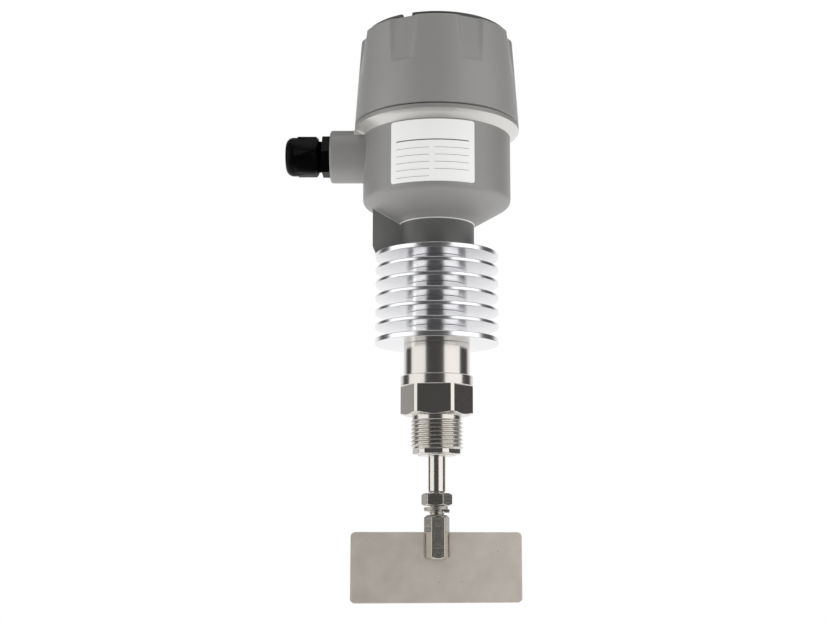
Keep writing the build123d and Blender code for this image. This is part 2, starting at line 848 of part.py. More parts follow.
# Rubber seal of the gland: sleeve in the body's bore, with a coned head that the cap squeezes
cap_start = collar_end + gland_groove_length
cap_end = cap_start + gland_cap_length
seal_tail = boss_reach - gland_seal_tail
seal_head = neck_end + seat_gap
seal_tip = cap_end - gland_dome_edge
head_radius = gland_neck_radius - gland_head_inset
seal_nose_radius = gland_mouth_radius + wall_gap + seat_gap
sleeve_radius = gland_body_bore - seat_gap
with BuildPart() as gland_seal:
    with BuildSketch(Plane.XZ):
        with BuildLine():
            Polyline(
                (-seal_tail, boss_level + cable_radius),
                (-seal_tail, boss_level + sleeve_radius),
                (-seal_head, boss_level + sleeve_radius),
                (-seal_head, boss_level + head_radius),
                (-seal_tip + gland_seal_cone, boss_level + head_radius),
                (-seal_tip, boss_level + seal_nose_radius),
                (-seal_tip, boss_level + cable_radius),
                close=True,
            )
        make_face()
    revolve(axis=gland_axis)
gland_seal.part.label = "gland_seal"
export_step(gland_seal.part, "parts/gland_seal.step")

# Gland cap: hex nut with a domed mouth
cap_corner_radius = gland_corner - gland_corner_cut
cap_hex_end = cap_start + gland_hex_length
cap_chamfer = 2 * (cap_corner_radius - gland_hex_width / 2)
cap_bore_end = seal_head + gland_head_inset
with BuildPart() as gland_cap:
    with BuildSketch(Plane.YZ.offset(-cap_hex_end)):
        with Locations((0, boss_level)):
            RegularPolygon(gland_hex_width / 2, 6, major_radius=False)
    extrude(amount=gland_hex_length)
    with BuildSketch(Plane.XZ):
        with BuildLine():
            Polyline(
                (-cap_start, boss_level),
                (-cap_start, boss_level + gland_hex_width / 2 - wall_gap),
                (-cap_start - cap_chamfer / 2, boss_level + cap_corner_radius),
                (-cap_hex_end, boss_level + cap_corner_radius),
                (-cap_hex_end, boss_level),
                close=True,
            )
        make_face()
    revolve(axis=gland_axis, mode=Mode.INTERSECT)
    with BuildSketch(Plane.XZ):
        with BuildLine():
            FilletPolyline(
                (-cap_start - cap_chamfer, boss_level),
                (-cap_start - cap_chamfer, boss_level + gland_hex_width / 2 - wall_gap),
                (-cap_hex_end + wall_gap, boss_level + gland_dome_radius),
                (-cap_end, boss_level + gland_dome_radius),
                (-cap_end, boss_level),
                radius=[0, 0, 0, gland_dome_edge, 0],
                close=True,
            )
        make_face()
    revolve(axis=gland_axis)
    with BuildSketch(Plane.XZ):
        with BuildLine():
            Polyline(
                (-cap_start, boss_level),
                (-cap_start, boss_level + gland_neck_radius),
                (-cap_bore_end, boss_level + gland_neck_radius),
                (-cap_bore_end, boss_level + head_radius + wall_gap),
                (-seal_tip + gland_seal_cone - seat_gap, boss_level + head_radius + wall_gap),
                (-seal_tip - wall_gap, boss_level + seal_nose_radius),
                (-seal_tip - wall_gap, boss_level + gland_mouth_radius),
                (-cap_end, boss_level + gland_mouth_radius),
                (-cap_end, boss_level),
                close=True,
            )
        make_face()
    revolve(axis=gland_axis, mode=Mode.SUBTRACT)
gland_cap.part.label = "gland_cap"
export_step(gland_cap.part, "parts/gland_cap.step")

# Cover seal: ring in a groove under the cover, resting on the collar
seal_inner = rim_radius + thread_clearance + seal_shoulder
seal_place = (seal_inner + seal_width / 2, collar_top + seal_depth / 2 + seat_gap / 2)
with BuildPart() as cover_seal:
    with BuildSketch(Plane.XZ) as seal_section:
        with Locations(seal_place):
            Rectangle(seal_width, seal_depth)
        chamfer(seal_section.vertices(), seal_corner)
    revolve(axis=Axis.Z)
cover_seal.part.label = "cover_seal"
export_step(cover_seal.part, "parts/cover_seal.step")

# Cutter for one grip recess: flat sloping floor, splayed sides and rounded inner corners
grip_foot = cover_top - grip_height
grip_rise = grip_height + crown_height
taper = cover_taper / cover_height
grip_foot_radius = cover_top_radius + taper * grip_height - grip_foot_depth
grip_top_radius = cover_top_radius - grip_top_depth
grip_slope = (grip_foot_radius - grip_top_radius) / grip_height
with BuildPart() as grip_cutter:
    for rise in (0, grip_rise):
        floor_radius = grip_foot_radius - grip_slope * rise
        with BuildSketch(Plane.XY.offset(grip_foot + rise)):
            with BuildLine():
                Polyline(
                    (floor_radius, -grip_floor_width / 2),
                    (floor_radius + grip_reach, -grip_floor_width / 2 - grip_reach),
                    (floor_radius + grip_reach, grip_floor_width / 2 + grip_reach),
                    (floor_radius, grip_floor_width / 2),
                    close=True,
                )
            make_face()
    loft()
    side_edges = grip_cutter.edges().filter_by(lambda edge: edge.length > grip_height).sort_by(Axis.X)[:2]
    fillet(side_edges, grip_corner)

# Cover: tapered screw cap with seven grip recesses and a raised ring with two spanner slots on top
cover_bore = rim_radius + wall_gap
seal_groove_depth = seal_depth - seam_gap + 2 * seat_gap
with BuildPart() as cover:
    with BuildSketch(Plane.XZ):
        with BuildLine():
            FilletPolyline(
                (0, cover_base),
                (cover_skirt_radius - skirt_chamfer, cover_base),
                (cover_skirt_radius, cover_base + skirt_chamfer),
                (cover_top_radius, cover_top),
                (0, cover_top),
                radius=[0, 0, 0, cover_edge, 0],
                close=True,
            )
        make_face()
    revolve(axis=Axis.Z)
    with PolarLocations(0, grip_count, start_angle=-90 + 180 / grip_count):
        add(grip_cutter.part, mode=Mode.SUBTRACT)
    with BuildSketch(Plane.XY.offset(cover_top)):
        Circle(crown_radius)
        Circle(crown_radius - crown_wall, mode=Mode.SUBTRACT)
        slot_angle = -90 - 180 / grip_count
        for angle in (slot_angle, slot_angle + 180):
            with Locations(on_circle(crown_radius, angle)):
                Rectangle(2 * crown_slot_reach, crown_slot_width, rotation=angle, mode=Mode.SUBTRACT)
    extrude(amount=crown_height)
    with BuildSketch(Plane.XZ):
        with BuildLine():
            FilletPolyline(
                (0, cover_base),
                (cover_bore, cover_base),
                (cover_bore, rim_top + thread_relief),
                (cover_inner_radius, rim_top + 2 * thread_relief),
                (cover_inner_radius, cover_top - cover_roof),
                (0, cover_top - cover_roof),
                radius=[0, 0, 0, 0, cover_roof_blend, 0],
                close=True,
            )
        make_face()
    revolve(axis=Axis.Z, mode=Mode.SUBTRACT)
    with BuildSketch(Plane.XY.offset(cover_base)):
        Circle(seal_inner + seal_width + seat_gap)
        Circle(seal_inner - seat_gap, mode=Mode.SUBTRACT)
    extrude(amount=seal_groove_depth, mode=Mode.SUBTRACT)
cover.part.label = "cover"
export_step(cover.part, "parts/cover.step")

# Chassis plate: steel disc on the casting's pillars
screw_angles = [angle for angle in pillar_angles if angle != earth_angle]
upright = (Align.CENTER, Align.CENTER, Align.MIN)
hanging = (Align.CENTER, Align.CENTER, Align.MAX)
with BuildPart() as chassis_plate:
    with BuildSketch(Plane.XY.offset(chassis_base)):
        Circle(chassis_radius)
        Circle(bush_radius, mode=Mode.SUBTRACT)
        for angle in pillar_angles:
            with Locations(on_circle(pillar_circle, angle)):
                Circle(chassis_hole_radius, mode=Mode.SUBTRACT)
    extrude(amount=sheet)
    for angle in screw_angles:
        with Locations((*on_circle(pillar_circle, angle), chassis_top)):
            CounterSinkHole(chassis_hole_radius, chassis_screw_head, depth=sheet)
chassis_plate.part.label = "chassis_plate"
export_step(chassis_plate.part, "parts/chassis_plate.step")

# Countersunk screws that hold the chassis plate
screw_shank = chassis_screw_radius - seat_gap
with BuildPart() as chassis_screws:
    for angle in screw_angles:
        with Locations((*on_circle(pillar_circle, angle), chassis_top - countersink - seat_gap)):
            Cone(screw_shank, chassis_screw_head - 2 * seat_gap, countersink, align=upright)
            Cylinder(screw_shank, chassis_screw_length - countersink, align=hanging)
chassis_screws.part.label = "chassis_screws"
export_step(chassis_screws.part, "parts/chassis_screws.step")

# Earth screw with its square clamping washer
earth_point = on_circle(pillar_circle, earth_angle)
earth_head_top = chassis_top + earth_washer[1] + earth_head[1]
with BuildPart() as earth_screw:
    with Locations((*earth_point, chassis_top)):
        Box(earth_washer[0], earth_washer[0], earth_washer[1], align=upright, rotation=(0, 0, earth_angle))
        Cylinder(screw_shank, chassis_screw_length - seat_gap, align=hanging)
    with Locations((*earth_point, chassis_top + earth_washer[1])):
        Cylinder(earth_head[0], earth_head[1], align=upright)
    with Locations((*earth_point, earth_head_top)):
        Box(3 * earth_head[0], slot_width, 2 * slot_depth, mode=Mode.SUBTRACT)
earth_screw.part.label = "earth_screw"
export_step(earth_screw.part, "parts/earth_screw.step")

# Swing bush: flanged plain bearing in the chassis plate
bush_foot = chassis_base - bush_below
with BuildPart() as swing_bush:
    with BuildSketch(Plane.XY.offset(bush_foot)):
        Circle(bush_radius - fit_clearance)
    extrude(amount=sheet + bush_below)
    with BuildSketch(Plane.XY.offset(chassis_top)):
        Circle(bush_flange_radius)
    extrude(amount=bush_flange)
    with BuildSketch(Plane.XY.offset(bush_foot)):
        Circle(hub_tube_radius + turning_clearance)
    extrude(amount=sheet + bush_below + bush_flange, mode=Mode.SUBTRACT)
swing_bush.part.label = "swing_bush"
export_step(swing_bush.part, "parts/swing_bush.step")

# Swing plate: hub tube in the bush, slot for the stop pin, spring lug and the folded trip flag
swing_clip_level = bush_foot - swing_clip_gap - circlip_thickness
swing_clip_bore = hub_tube_radius - swing_clip_depth
slot_middle = stop_pin_angle - swing_angle / 2
slot_arc = swing_angle + 2 * degrees(thread_clearance / stop_pin_circle)
with BuildLine() as slot_line:
    CenterArc((0, 0), stop_pin_circle, slot_middle - slot_arc / 2, slot_arc)
with BuildPart() as swing_plate:
    with BuildSketch(Plane.XY.offset(swing_base)):
        Circle(swing_radius)
        with Locations((0, (flag_outer + swing_radius - flag_root) / 2)):
            Rectangle(flag_arm_width, flag_outer - swing_radius + flag_root)
        with Locations(on_circle(stop_pin_circle - 1, slot_middle)):
            RectangleRounded(*stop_lug, lug_corner, rotation=slot_middle)
        with Locations(on_circle(spring_lug_circle - 2, spring_lug_angle)):
            RectangleRounded(*spring_lug, lug_corner, rotation=spring_lug_angle)
        with Locations(on_circle(spring_lug_circle, spring_lug_angle)):
            Circle(stud_radius - wall_gap, mode=Mode.SUBTRACT)
        SlotArc(slot_line.edges()[0], 2 * (stop_pin_radius + stop_slot_gap), mode=Mode.SUBTRACT)
        with PolarLocations(gearbox_screw_circle, 2, start_angle=ear_screw_angle):
            Circle(ear_screw_radius, mode=Mode.SUBTRACT)
    extrude(amount=sheet)
    with Locations((0, (flag_inner + flag_outer) / 2, swing_top - sheet / 2)):
        Box(sheet, flag_outer - flag_inner, flag_height + sheet / 2, align=upright)
    with BuildSketch(Plane.XY.offset(swing_base - hub_tube_length)):
        Circle(hub_tube_radius)
    extrude(amount=hub_tube_length)
    with BuildSketch(Plane.XY.offset(swing_clip_level)):
        Circle(hub_tube_radius + 1)
        Circle(swing_clip_bore, mode=Mode.SUBTRACT)
    extrude(amount=circlip_thickness, mode=Mode.SUBTRACT)
    with BuildSketch(Plane.XY.offset(swing_base - hub_tube_length)):
        Circle(hub_tube_bore)
    extrude(amount=hub_tube_length + sheet, mode=Mode.SUBTRACT)
swing_plate.part.label = "swing_plate"
export_step(swing_plate.part, "parts/swing_plate.step")

# Circlip that keeps the swing plate in its bush
with BuildPart() as swing_circlip:
    with BuildSketch(Plane.XY.offset(swing_clip_level + fit_clearance)):
        Circle(hub_tube_radius + swing_clip_reach)
        Circle(swing_clip_bore + fit_clearance, mode=Mode.SUBTRACT)
        with Locations((0, -hub_tube_radius)):
            Rectangle(hub_tube_radius, hub_tube_radius, mode=Mode.SUBTRACT)
    extrude(amount=clip_height)
swing_circlip.part.label = "swing_circlip"
export_step(swing_circlip.part, "parts/swing_circlip.step")

# Stop pin: shouldered pin riveted into the chassis plate
stop_point = on_circle(stop_pin_circle, stop_pin_angle)
with BuildPart() as stop_pin:
    with BuildSketch(Plane.XY.offset(chassis_top)):
        with Locations(stop_point):
            Circle(stop_pin_radius)
    extrude(amount=swing_top - chassis_top + stop_pin_shoulder)
    with BuildSketch(Plane.XY.offset(chassis_top)):
        with Locations(stop_point):
            Circle(stop_pin_radius + stop_pin_shoulder)
    extrude(amount=bush_flange)
stop_pin.part.label = "stop_pin"
export_step(stop_pin.part, "parts/stop_pin.step")

# Coupling: sleeve pinned to the drive shaft and clamped on the motor's shaft by a grub screw
screw_level = coupling_top - grub_screw_drop
shaft_bore_top = shaft_top + coupling_gap
with BuildPart() as drive_coupling:
    with BuildSketch(Plane.XY.offset(coupling_base)):
        Circle(coupling_radius)
    extrude(amount=coupling_length)
    chamfer(drive_coupling.edges().filter_by(GeomType.CIRCLE), coupling_edge)
    with BuildSketch(Plane.XY.offset(coupling_base)):
        Circle(journal_radius + fit_clearance)
    extrude(amount=shaft_bore_top - coupling_base, mode=Mode.SUBTRACT)
    with BuildSketch(Plane.XY.offset(shaft_bore_top)):
        Circle(motor_shaft_radius + fit_clearance)
    extrude(amount=coupling_top - shaft_bore_top, mode=Mode.SUBTRACT)
    with BuildSketch(Plane.XZ.offset(-coupling_radius - 1)):
        with Locations((0, pin_level)):
            Circle(coupling_pin_radius + fit_clearance)
    extrude(amount=2 * coupling_radius + 2, mode=Mode.SUBTRACT)
    with BuildSketch(Plane.YZ):
        with Locations((0, screw_level)):
            Circle(grub_screw_radius)
    extrude(amount=coupling_radius + 1, mode=Mode.SUBTRACT)
drive_coupling.part.label = "drive_coupling"
export_step(drive_coupling.part, "parts/drive_coupling.step")

# Cross pin and grub screw of the coupling
with BuildPart() as coupling_pin:
    with BuildSketch(Plane.XZ.offset(coupling_pin_short - coupling_radius)):
        with Locations((0, pin_level)):
            Circle(coupling_pin_radius)
    extrude(amount=2 * (coupling_radius - coupling_pin_short))
coupling_pin.part.label = "coupling_pin"
export_step(coupling_pin.part, "parts/coupling_pin.step")

grub_screw_end = coupling_radius - 2 * coupling_pin_short
with BuildPart() as coupling_screw:
    with BuildSketch(Plane.YZ.offset(motor_shaft_radius + seat_gap)):
        with Locations((0, screw_level)):
            Circle(grub_screw_radius - seat_gap)
    extrude(amount=grub_screw_end - motor_shaft_radius - seat_gap)
    with BuildSketch(Plane.YZ.offset(grub_screw_end - grub_socket[1])):
        with Locations((0, screw_level)):
            RegularPolygon(grub_socket[0], 6, major_radius=False)
    extrude(amount=grub_socket[1], mode=Mode.SUBTRACT)
coupling_screw.part.label = "coupling_screw"
export_step(coupling_screw.part, "parts/coupling_screw.step")

# Motor output shaft, carried in the gearbox
output_base = shaft_bore_top + motor_shaft_gap
with BuildPart() as motor_shaft:
    with BuildSketch(Plane.XY.offset(output_base)):
        Circle(motor_shaft_radius)
    extrude(amount=swing_top + output_depth - output_base)
    chamfer(motor_shaft.edges().filter_by(GeomType.CIRCLE).sort_by(Axis.Z)[0], motor_shaft_gap)
motor_shaft.part.label = "motor_shaft"
export_step(motor_shaft.part, "parts/motor_shaft.step")

# Gearbox: round die-cast case with two ears
ear_length, ear_width, ear_height = ear_size
with BuildPart() as gearbox:
    with BuildSketch(Plane.XY.offset(swing_top)):
        Circle(gearbox_radius)
    extrude(amount=gearbox_height)
    chamfer(gearbox.edges().filter_by(GeomType.CIRCLE).sort_by(Axis.Z)[-1], gearbox_edge)
    with BuildSketch(Plane.XY.offset(swing_top)):
        with PolarLocations(gearbox_screw_circle - ear_height, 2, start_angle=ear_screw_angle):
            SlotOverall(ear_length, ear_width)
    extrude(amount=ear_height)
    with BuildSketch(Plane.XY.offset(swing_top)):
        with PolarLocations(gearbox_screw_circle, 2, start_angle=ear_screw_angle):
            Circle(ear_screw_radius + wall_gap)
    extrude(amount=gearbox_height, mode=Mode.SUBTRACT)
    with BuildSketch(Plane.XY.offset(swing_top)):
        Circle(motor_shaft_radius + turning_clearance)
    extrude(amount=output_depth + motor_shaft_gap, mode=Mode.SUBTRACT)
gearbox.part.label = "gearbox"
export_step(gearbox.part, "parts/gearbox.step")

# Screws through the gearbox's ears into the swing plate
with BuildPart() as gearbox_screws:
    with PolarLocations(gearbox_screw_circle, 2, start_angle=ear_screw_angle):
        with Locations((0, 0, swing_top + ear_height)):
            Cylinder(ear_screw_radius - seat_gap / 2, ear_height + sheet - seat_gap, align=hanging)
            Cylinder(*ear_screw_head, align=upright)
gearbox_screws.part.label = "gearbox_screws"
export_step(gearbox_screws.part, "parts/gearbox_screws.step")

# Motor: drawn steel can with a rolled rim and a stepped cap
band_height, band_depth = motor_band
cap_radius, cap_height = motor_cap
can_radius = motor_radius - band_depth
with BuildPart() as motor_can:
    with BuildSketch(Plane.XZ):
        with BuildLine():
            Polyline(
                (0, gearbox_top),
                (motor_radius, gearbox_top),
                (motor_radius, gearbox_top + band_height),
                (can_radius, gearbox_top + band_height + band_depth),
                (can_radius, motor_top - motor_edge),
                (can_radius - motor_edge, motor_top),
                (cap_radius, motor_top),
                (cap_radius, motor_top + cap_height),
                (0, motor_top + cap_height),
                close=True,
            )
        make_face()
    revolve(axis=Axis.Z)
motor_can.part.label = "motor_can"
export_step(motor_can.part, "parts/motor_can.step")

# Return spring between the post on the chassis and the stud on the swing plate
spring_level = chassis_top + spring_above_chassis
lug_point = Vector(*on_circle(spring_lug_circle, spring_lug_angle), spring_level)
post_point = Vector(*on_circle(spring_post_circle, spring_post_angle), spring_level)
spring_line = lug_point - post_point
hook_length = spring_radius + stud_radius
coil_length = spring_line.length - 2 * hook_length
along = spring_line.normalized()
across = along.cross(Vector(0, 0, 1))
with BuildPart() as return_spring:
    with BuildSketch(Plane(post_point + along * hook_length, x_dir=across, z_dir=along)):
        Circle(spring_radius + spring_wire)
        Circle(spring_radius - spring_wire, mode=Mode.SUBTRACT)
    extrude(amount=coil_length)
    for end_point, way in ((post_point, 1), (lug_point, -1)):
        with BuildSketch(Plane(end_point + across * spring_radius, x_dir=across, z_dir=along * way)):
            Circle(spring_wire)
        extrude(amount=hook_length + spring_wire)
        with BuildSketch(Plane(end_point + across * spring_radius, x_dir=across, z_dir=along * way)):
            Circle(spring_wire)
        revolve(axis=Axis(end_point, (0, 0, -way)), revolution_arc=180)
return_spring.part.label = "return_spring"
export_step(return_spring.part, "parts/return_spring.step")

# Grooved studs that the spring hooks on
stud_specs = (
    ("spring_post", spring_post_circle, spring_post_angle, chassis_top),
    ("spring_stud", spring_lug_circle, spring_lug_angle, swing_top),
)
for stud_name, circle, angle, foot in stud_specs:
    with BuildPart() as stud:
        with BuildSketch(Plane.XY.offset(foot)):
            with Locations(on_circle(circle, angle)):
                Circle(stud_radius)
        extrude(amount=spring_level - foot + stud_end)
        with BuildSketch(Plane.XY.offset(spring_level + stud_end)):
            with Locations(on_circle(circle, angle)):
                Circle(stud_radius + stud_head)
        extrude(amount=stud_end)
    stud.part.label = stud_name
    export_step(stud.part, "parts/" + stud_name + ".step")

# Microswitches, one over the other, each with a pivoted lever that leans towards the trip flag
depth, width, tall = switch_size
switch_outer = switch_inner + width
switch_middle = switch_inner + width / 2
switch_back = -switch_face - depth
pivot_x = lever_pivot_offset - switch_face
flag_face = -sheet / 2
lever_tip_x = flag_face - lever_gap - lever_thickness / 2
lean = asin((lever_tip_x - pivot_x) / lever_length)
half_across = lever_thickness / 2 * cos(lean)
half_along = lever_thickness / 2 * sin(lean)
hole_x = switch_back + switch_hole_inset
switch_feet = [chassis_top + switch_above_chassis + row * switch_step for row in (0, 1)]
hole_points = []
for foot in switch_feet:
    for side in (-1, 1):
        hole_points.append((hole_x, foot + tall / 2 + side * switch_hole_spread))
for switch_name, foot in zip(("signal", "stop"), switch_feet):
    pivot_z = foot + lever_pivot_height
    tip_z = pivot_z + lever_length * cos(lean)
    with BuildPart() as switch:
        with Locations((switch_back + depth / 2, switch_middle, foot + tall / 2)):
            Box(depth, width, tall)
        chamfer(switch.edges().filter_by(Axis.Y), switch_edge)
        with Locations((-switch_face, switch_middle, foot + plunger_height)):
            Box(*plunger_size)
        for side in (switch_inner + switch_edge, switch_outer - switch_edge):
            with Locations((-switch_face, side, pivot_z)):
                Box(*ear_block)
        with BuildSketch(Plane.XZ.offset(-switch_outer - 1)):
            with Locations((pivot_x, pivot_z)):
                Circle(lever_pin_radius + turning_clearance)
        extrude(amount=width + 2, mode=Mode.SUBTRACT)
        with BuildSketch(Plane.XZ.offset(-switch_outer - 1)):
            with Locations(*hole_points):
                Circle(switch_hole_radius)
        extrude(amount=width + 2, mode=Mode.SUBTRACT)
        for tab in (foot + tab_inset, foot + tall / 2, foot + tall - tab_inset):
            with Locations((switch_back - tab_size[0] / 2 + seat_gap, switch_middle, tab)):
                Box(*tab_size)
    switch.part.label = switch_name + "_switch"
    export_step(switch.part, "parts/" + switch_name + "_switch.step")
    with BuildPart() as lever:
        with BuildSketch(Plane.XZ.offset(-switch_middle - lever_width / 2)):
            with BuildLine():
                Polyline(
                    (pivot_x - half_across, pivot_z + half_along),
                    (lever_tip_x - half_across, tip_z + half_along),
                    (lever_tip_x + half_across, tip_z - half_along),
                    (pivot_x + half_across, pivot_z - half_along),
                    close=True,
                )
            make_face()
            with Locations((pivot_x, pivot_z)):
                Circle(lever_root_radius)
        extrude(amount=lever_width)
        with BuildSketch(Plane.XZ.offset(-switch_middle - lever_width / 2 - lever_pin_length)):
            with Locations((pivot_x, pivot_z)):
                Circle(lever_pin_radius)
        extrude(amount=lever_width + 2 * lever_pin_length)
    lever.part.label = switch_name + "_lever"
    export_step(lever.part, "parts/" + switch_name + "_lever.step")

# Folded bracket behind the switches
bracket_middle = switch_back + depth / 2 + bracket_margin / 2
bracket_height = switch_feet[1] + tall + bracket_margin - chassis_top
bracket_bolt = (switch_back + depth / 2, switch_middle)
with BuildPart() as switch_bracket:
    with Locations((bracket_middle, switch_outer + bracket_sheet / 2, chassis_top)):
        Box(depth + bracket_margin, bracket_sheet, bracket_height, align=upright)
    with Locations((bracket_middle, switch_middle + bracket_sheet / 2, chassis_top)):
        Box(depth + bracket_margin, width + bracket_sheet, bracket_sheet, align=upright)
    with BuildSketch(Plane.XZ.offset(-switch_outer - bracket_sheet - 1)):
        with Locations(*hole_points):
            Circle(switch_screw_radius + turning_clearance)
    extrude(amount=bracket_sheet + 2, mode=Mode.SUBTRACT)
    with BuildSketch(Plane.XY.offset(chassis_top)):
        with Locations(bracket_bolt):
            Circle(bracket_screw_radius + seat_gap)
    extrude(amount=bracket_sheet, mode=Mode.SUBTRACT)
switch_bracket.part.label = "switch_bracket"
export_step(switch_bracket.part, "parts/switch_bracket.step")

# Screws of the switches and of their bracket
head_radius_of_screw, head_height = switch_screw_head
with BuildPart() as switch_screws:
    with BuildSketch(Plane.XZ.offset(-switch_outer - bracket_sheet)):
        with Locations(*hole_points):
            Circle(switch_screw_radius)
    extrude(amount=width + bracket_sheet)
    with BuildSketch(Plane.XZ.offset(-switch_inner)):
        with Locations(*hole_points):
            Circle(head_radius_of_screw)
    extrude(amount=head_height)
    with Locations((*bracket_bolt, chassis_top + bracket_sheet)):
        Cylinder(*bracket_screw_head, align=upright)
        Cylinder(bracket_screw_radius, bracket_sheet, align=hanging)
switch_screws.part.label = "switch_screws"
export_step(switch_screws.part, "parts/switch_screws.step")

# Terminal deck on three hex standoffs over the motor
standoff_points = [on_circle(standoff_circle, angle) for angle in standoff_angles]
with BuildPart() as standoffs:
    with BuildSketch(Plane.XY.offset(chassis_top)):
        with Locations(*standoff_points):
            RegularPolygon(standoff_width / 2, 6, major_radius=False)
            Circle(deck_screw_radius + seat_gap, mode=Mode.SUBTRACT)
    extrude(amount=standoff_height)
standoffs.part.label = "standoffs"
export_step(standoffs.part, "parts/standoffs.step")

with BuildPart() as terminal_deck:
    with BuildSketch(Plane.XY.offset(deck_base)):
        Circle(deck_radius)
        with Locations((-deck_notch_edge - deck_radius / 2, 0)):
            Rectangle(deck_radius, deck_notch, mode=Mode.SUBTRACT)
        with Locations(*standoff_points):
            Circle(deck_screw_radius + 2 * seat_gap, mode=Mode.SUBTRACT)
    extrude(amount=sheet)
terminal_deck.part.label = "terminal_deck"
export_step(terminal_deck.part, "parts/terminal_deck.step")

with BuildPart() as deck_screws:
    for point in standoff_points:
        with Locations((*point, deck_top)):
            Cylinder(deck_screw_radius, deck_screw_length, align=hanging)
            Cylinder(*deck_screw_head, align=upright)
deck_screws.part.label = "deck_screws"
export_step(deck_screws.part, "parts/deck_screws.step")

# Terminal block: a row of poles, each with its brass clamp and screw
long_side, short_side, block_height = block_size
clamp_depth, clamp_height = clamp_size
pole_base = deck_top + pole_floor
clamp_top = pole_base + clamp_height
wire_level = pole_base + clamp_wire_level
tunnel_height = clamp_height + pole_gap
pole_places = []
for pole in range(pole_count):
    pole_places.append((block_centre[0] + (pole - (pole_count - 1) / 2) * pole_pitch, block_centre[1]))
with BuildPart() as terminal_block:
    with Locations((*block_centre, deck_top)):
        Box(long_side, short_side, block_height, align=upright)
    chamfer(terminal_block.edges().filter_by(Axis.X).group_by(Axis.Z)[-1], block_chamfer)
    for place in pole_places:
        with Locations((*place, pole_base)):
            Box(pole_size + 2 * pole_gap, short_side + 2, tunnel_height, align=upright, mode=Mode.SUBTRACT)
            Cylinder(pole_size / 2, block_height, align=upright, mode=Mode.SUBTRACT)
terminal_block.part.label = "terminal_block"
export_step(terminal_block.part, "parts/terminal_block.step")

with BuildPart() as terminal_clamps:
    for place in pole_places:
        with Locations((*place, pole_base)):
            Box(pole_size, clamp_depth, clamp_height, align=upright)
        with BuildSketch(Plane.XZ.offset(-block_centre[1] - clamp_depth)):
            with Locations((place[0], wire_level)):
                Circle(clamp_wire_radius)
        extrude(amount=2 * clamp_depth, mode=Mode.SUBTRACT)
        with Locations((*place, wire_level)):
            Cylinder(clamp_thread_radius, clamp_height, align=upright, mode=Mode.SUBTRACT)
terminal_clamps.part.label = "terminal_clamps"
export_step(terminal_clamps.part, "parts/terminal_clamps.step")

screw_head_radius, screw_head_height = clamp_screw
with BuildPart() as terminal_screws:
    for place in pole_places:
        with Locations((*place, clamp_top + seat_gap)):
            Cylinder(screw_head_radius, screw_head_height, align=upright)
            Cylinder(clamp_screw_radius, clamp_screw_length, align=hanging)
        with Locations((*place, clamp_top + seat_gap + screw_head_height)):
            Box(3 * screw_head_radius, slot_width, 2 * slot_depth, mode=Mode.SUBTRACT)
terminal_screws.part.label = "terminal_screws"
export_step(terminal_screws.part, "parts/terminal_screws.step")
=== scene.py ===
import json
from math import atan2, degrees, pi, radians, sqrt, tan

import bmesh
import bpy
import numpy as np
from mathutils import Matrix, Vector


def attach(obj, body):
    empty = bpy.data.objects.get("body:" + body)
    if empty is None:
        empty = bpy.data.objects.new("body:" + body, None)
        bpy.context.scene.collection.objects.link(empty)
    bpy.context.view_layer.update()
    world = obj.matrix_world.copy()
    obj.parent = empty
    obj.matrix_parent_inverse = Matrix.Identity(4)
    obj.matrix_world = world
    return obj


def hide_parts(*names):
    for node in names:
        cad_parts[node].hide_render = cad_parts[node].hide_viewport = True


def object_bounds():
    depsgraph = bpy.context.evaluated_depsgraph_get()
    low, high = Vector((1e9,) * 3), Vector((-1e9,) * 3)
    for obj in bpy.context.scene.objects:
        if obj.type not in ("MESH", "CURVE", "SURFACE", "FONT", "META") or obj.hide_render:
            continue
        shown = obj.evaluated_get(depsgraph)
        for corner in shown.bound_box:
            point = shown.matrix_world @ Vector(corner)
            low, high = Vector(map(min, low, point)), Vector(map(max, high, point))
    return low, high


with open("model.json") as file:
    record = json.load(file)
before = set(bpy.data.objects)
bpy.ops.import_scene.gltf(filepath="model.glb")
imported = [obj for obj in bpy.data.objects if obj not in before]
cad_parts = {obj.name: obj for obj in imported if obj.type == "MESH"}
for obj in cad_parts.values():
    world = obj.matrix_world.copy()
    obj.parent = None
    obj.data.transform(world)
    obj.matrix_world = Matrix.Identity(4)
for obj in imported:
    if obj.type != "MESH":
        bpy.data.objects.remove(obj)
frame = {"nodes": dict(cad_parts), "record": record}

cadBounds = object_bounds()
mm = 0.001
bodyOfNode = {node: body for body, nodes in frame["record"]["behaviour"]["bodies"].items() for node in nodes}
slotOfNode = {part["node"]: part["material_slot"] for part in frame["record"]["subparts"]}
print("frame loaded:", len(frame["nodes"]), "nodes")


# small tools

def linear(hexColour, gain=1.0):
    # sRGB hex text to the linear colour that the shaders want, lighter or darker by the gain
    parts = np.array([int(hexColour[i:i + 2], 16) / 255 for i in (1, 3, 5)])
    flat = np.where(parts <= 0.04045, parts / 12.92, ((parts + 0.055) / 1.055) ** 2.4) * gain
    return (*flat.tolist(), 1.0)


def addNode(tree, kind, values=None, links=None, **settings):
    node = tree.nodes.new("ShaderNode" + kind)
    for name, value in settings.items():
        setattr(node, name, value)
    for name, value in (values or {}).items():
        node.inputs[name].default_value = value
    for name, socket in (links or {}).items():
        tree.links.new(socket, node.inputs[name])
    return node


def newMaterial(name, **values):
    material = bpy.data.materials.new(name)
    material.use_nodes = True
    shader = material.node_tree.nodes["Principled BSDF"]
    for label, value in values.items():
        shader.inputs[label.replace("_", " ")].default_value = value
    return material, material.node_tree, shader


def paintPiece(piece, material):
    piece.data.materials.clear()
    piece.data.materials.append(material)


def finishPiece(name, mesh, material, body):
    piece = bpy.data.objects.new(name, mesh)
    bpy.context.scene.collection.objects.link(piece)
    paintPiece(piece, material)
    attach(piece, body)
    return piece


